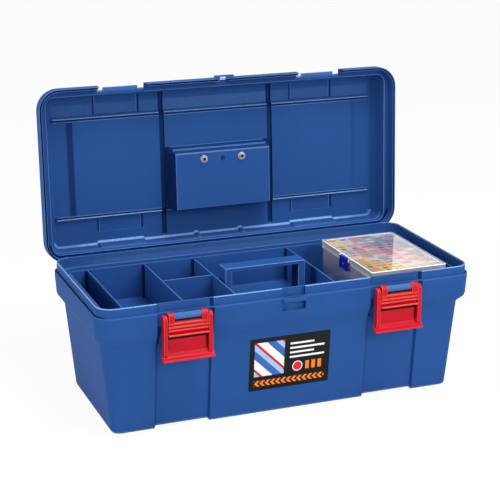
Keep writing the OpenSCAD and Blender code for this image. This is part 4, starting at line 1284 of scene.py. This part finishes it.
def buildTray():
    t = SimpleNamespace(**tray)
    grip = SimpleNamespace(**t.grip)
    half, wall, low, top, corner = t.half, t.wall, t.low, t.top, t.corner
    sideY = half[1]

    def edgeHighlight(x, y):
        # painted highlight along the top edge, stronger along the front than along the rear
        return t.edge[y > sideY - corner]

    rows = [
        (boxRow(half, corner, 0, low), 0, 0),
        (boxRow(half, 0.6, corner - 0.6, low), 2.5, 0.4),
        (boxRow(half, 0, corner, top), 0.8, edgeHighlight),
        (boxRow(half, wall, corner - wall, top), 0.8, edgeHighlight),
        (boxRow(half, wall + 0.4, corner - wall, low + wall), 3, 0),
        (boxRow(half, corner + wall, 0, low + wall), 0, 0),
    ]
    bm = newPiece()
    addShell(bm, rows, [-150, -50, 50, 150], [-50, 0, 50], (), 7)
    boxes = {node: nodeBox(node) for node in dividers}
    full = [box for box in boxes.values() if box[1][1] - box[0][1] > sideY]  # those that reach across
    slotY = sideY - wall - t.slotDeep / 2 + 0.4
    places = []
    for start, end in full:
        reach = (end[0] - start[0]) / 2 + t.slotGap + t.slotRib / 2
        places += [((start[0] + end[0]) / 2 + way * reach, side * slotY, low + wall - 0.3)
                   for side in (-1, 1) for way in (-1, 1)]
    sizes = {"Width": t.slotRib, "Depth": t.slotDeep + 0.8, "Height": full[-1][1][2] - low - wall,
             "Round": t.slotRound}
    addGrown(bm, trees["ribs"], places, sizes, "tray_blue", t.slotTone)
    left, right, foot, under = grip.x - grip.half, grip.x + grip.half, low + wall - 0.2, grip.top - grip.bar
    bridgeOutline = [(left, foot), (left, grip.top), (right, grip.top), (right, foot),
                     (right - grip.post, foot), (right - grip.post, under), (left + grip.post, under),
                     (left + grip.post, foot)]
    prism(bm, bridgeOutline, -grip.y, grip.y, "y", 1.0, 1, 3)
    # a dark plate of painted shade inside the right post
    hollow = right - grip.post
    darkPlate(bm, (hollow - 0.2, 2 - grip.y, foot + 2), (hollow + 1, grip.y - 2, under - 2), grip.hollow)
    finishPiece(bm, "liftOutTray", "tray", "tray_blue", ["tray"])
    for node, body in dividers.items():
        bm = newPiece()
        slab(bm, *boxes[node], 0.55)
        finishPiece(bm, node.replace("tray_", "").replace("_", ""), body, "tray_blue", [node])


buildTray()
print("tray done")


# Clear parts case with its sheet and clip

case = {
    "wall": 1.6, "corner": 3.0, "split": 165.5, "flange": 0.8, "frameIn": 4.6, "knuckleR": 2.2, "knuckle": 10,
    "hingeShare": (0.25, 0.75), "clipY": -17, "clipHalf": 13, "clipThick": 2.5, "lug": 16, "hasp": 159,
    "haspHalf": 11, "sheetCorner": 1.5,
    "button": ((0, -0.4), (2.4, -0.4), (2.2, 0.4), (1.4, 0.8), (0, 0.9)),
}


def buildCase():
    c = SimpleNamespace(**case)
    wall, corner, split, flange, frameIn, clipY = c.wall, c.corner, c.split, c.flange, c.frameIn, c.clipY
    sheetLow, sheetHigh = nodeBox("insert_card")
    x0, y0, _ = sheetLow - wall - 1
    x1, y1, _ = sheetHigh + wall + 1
    top, floor = sheetHigh[2] + wall, nodeBox("case_base")[0][2]
    half = ((x1 - x0) / 2, (y1 - y0) / 2)
    middle = Matrix.Translation(((x0 + x1) / 2, (y0 + y1) / 2, 0))
    axis = jointPlace("case_lid_hinge")
    a, _, b = jointPlace("case_clip_pivot")

    def newShell(rows):
        bm = newPiece()
        addShell(bm, rows, [-30, 0, 30], [-50, 0, 50], (), 5)
        bm.transform(middle)
        return bm

    def addKnuckles(bm, near, far, low, high):
        for share in c.hingeShare:
            y = y0 + share * (y1 - y0)
            prism(bm, circlePoints(axis.x, axis.z, c.knuckleR, 20), y + near, y + far, "y", 0.3)
            prism(bm, rectangle(x1 - 0.8, low, axis.x, high), y + near, y + far, "y", 0.2)

    # shine values paint the milky edge lines as highlights and make some bands more opaque
    bm = newShell([
        (boxRow(half, corner + 1, 0, floor), 0, 0),
        (boxRow(half, flange + 0.4, corner, floor), 1.5, 1),
        (boxRow(half, flange, corner, split - 3.2), 0.3, 0, 0.25),
        (boxRow(half, 0, corner, split - 2.6), 0.3, 1),
        (boxRow(half, 0, corner, split), 0.3, 1, 0.4),
        (boxRow(half, wall + 0.4, corner - 1, split), 0.3, 1),
        (boxRow(half, wall + 0.8, corner - 1, floor + wall), 1.2, 0),
        (boxRow(half, corner + 2.4, 0, floor + wall), 0, 0),
    ])
    addKnuckles(bm, -c.knuckle, -0.2, split - 2, split - 0.2)
    slab(bm, (x0 - 1.4, clipY - c.haspHalf, c.hasp), (x0 + 1, clipY + c.haspHalf, c.hasp + 2), 0.4)
    finishPiece(bm, "caseBase", "case", "case_clear", ["case_base"])

    bm = newShell([
        (boxRow(half, corner + 2.4, 0, top - wall), 0, 0),
        (boxRow(half, wall, corner - 1, top - wall), 0.8, 0),
        (boxRow(half, wall, corner - 1, split + 0.3), 0.3, 1),
        (boxRow(half, 0, corner, split + 0.3), 0.3, 1),
        (boxRow(half, 0, corner, top), 1.1, 1, 0.4),
        (boxRow(half, frameIn, corner - 1, top), 0.4, 0.9),
        (boxRow(half, frameIn + 0.7, corner - 1.4, top - 0.6), 0.3, 0.7),
        (boxRow(half, frameIn + corner + 1, 0, top - 0.6), 0, 0),
    ])
    addKnuckles(bm, 0.2, c.knuckle, split + 0.4, split + 2.2)
    for way in (-1, 1):
        near, far = spanAt(clipY, way, c.clipHalf + 0.3, c.lug)
        slab(bm, (a - 2, near, b - 2), (x0 + 1, far, b + 2), 0.5)
    finishPiece(bm, "caseLid", "case_lid", "case_clear", ["case_lid"])

    bm = newPiece()
    sheet = rectangle(sheetLow[0], sheetLow[1], sheetHigh[0], sheetHigh[1])
    prism(bm, roundedPoints(sheet, c.sheetCorner), sheetLow[2], sheetHigh[2] - 0.1, "z", 0.1, 0)
    finishPiece(bm, "caseSheet", "case_lid", "card_print", ["insert_card"])

    bm = newPiece()
    out, hasp = a - c.clipThick, c.hasp
    prism(bm, circlePoints(a, b, 1.0, 16), clipY - c.lug, clipY + c.lug, "y", 0.2)
    outline = [(out, b + 0.8), (out + 0.6, b + 1.5), (a + 1.2, b + 1.4), (a + 1.2, b - 1.4), (a - 0.1, b - 2),
               (a - 0.1, hasp), (a + 1.2, hasp - 0.2), (a + 1.2, hasp - 1.4), (a - 0.1, hasp - 2),
               (out - 1.2, hasp - 3.4), (out - 1.2, hasp - 2.4), (out, hasp)]
    prism(bm, roundedPoints(outline, 0.5, 2), clipY - c.clipHalf, clipY + c.clipHalf, "y", 0.5, 1, 3)
    place = Matrix.Translation((out, clipY, b - 8)) @ Matrix.Rotation(-math.pi / 2, 4, "Y")
    # the button carries a painted highlight
    lathe(bm, c.button, place, 20, 0.9)
    finishPiece(bm, "caseClip", "case_clip", "clip_blue", ["case_clip"])


buildCase()
print("case done")


# Pins keep their solids

for node in ("hinge_pin_left", "hinge_pin_right", "latch_pin_left", "latch_pin_right", "handle_axle",
             "case_hinge_pins"):
    pin = frame["nodes"][node]
    pin.data.materials.clear()
    pin.data.materials.append(finish["pin_steel"])
print("pins done")


# Camera, floor and lights

view = {"lens": 105.21, "place": (-0.6884, -1.7312, 0.7632), "down": 17.092, "turn": -21.25}
lights = {
    "key": {"place": (0.9, -2.3, 1.3), "size": 1.1, "power": 30},
    "fill": {"place": (-2.3, -0.3, 1.0), "size": 1.2, "power": 24},
    "top": {"place": (0.4, -0.6, 2.2), "size": 1.2, "power": 45},
}
stage = {"ambient": 0.38, "aim": (0, 0, 0.16), "reach": 6, "floor": (0.92, 0.92, 0.92, 1), "shown": 0.93}


def seenRays(tree):
    # 1 for what the camera sees, straight, mirrored or through something clear
    path = tree.add("ShaderNodeLightPath").socket.node
    straight, glossy, through = [Wire(tree.tree, path.outputs[name])
                                 for name in ("Is Camera Ray", "Is Glossy Ray", "Is Transmission Ray")]
    return (straight + glossy + through).clamped()


def buildStage():
    camera = bpy.data.objects.new("camera", bpy.data.cameras.new("camera"))
    camera.data.lens = view["lens"]
    camera.data.sensor_width = 36
    camera.location = view["place"]
    camera.rotation_euler = (math.radians(90 - view["down"]), 0, math.radians(view["turn"]))
    scene.collection.objects.link(camera)
    scene.camera = camera
    for name, given in lights.items():
        lamp = bpy.data.objects.new(name, bpy.data.lights.new(name, "AREA"))
        lamp.data.size = given["size"]
        lamp.data.energy = given["power"]
        lamp.location = given["place"]
        lamp.rotation_euler = (Vector(stage["aim"]) - lamp.location).to_track_quat("-Z", "Y").to_euler()
        scene.collection.objects.link(lamp)

    world = bpy.data.worlds.new("studio")
    world.use_nodes = True
    world.node_tree.nodes.clear()
    sky = Wire(world.node_tree)
    strength = stage["ambient"] + (1 - stage["ambient"]) * seenRays(sky)
    shade = sky.add("ShaderNodeBackground", {}, {"Color": white, "Strength": strength})
    sky.add("ShaderNodeOutputWorld", {}, {"Surface": shade})
    scene.world = world

    mesh = bpy.data.meshes.new("floor")
    reach = stage["reach"]
    corners = [(x, y, 0) for x, y in rectangle(-reach, -reach, reach, reach)]
    mesh.from_pydata(corners, [], [(0, 1, 2, 3)])
    floor = bpy.data.objects.new("floor", mesh)
    material, tree = newMaterial("floorPale")
    paint = tree.add("ShaderNodeBsdfDiffuse", {}, {"Color": stage["floor"]})
    glow = tree.add("ShaderNodeEmission", {}, {"Color": white, "Strength": 1.0})
    shown = seenRays(tree) * stage["shown"]
    mix = tree.add("ShaderNodeMixShader", {}, {0: shown, 1: paint, 2: glow})
    mesh.materials.append(closeMaterial(material, mix))
    scene.collection.objects.link(floor)


buildStage()
scene.view_settings.view_transform = "Standard"
print("stage done")
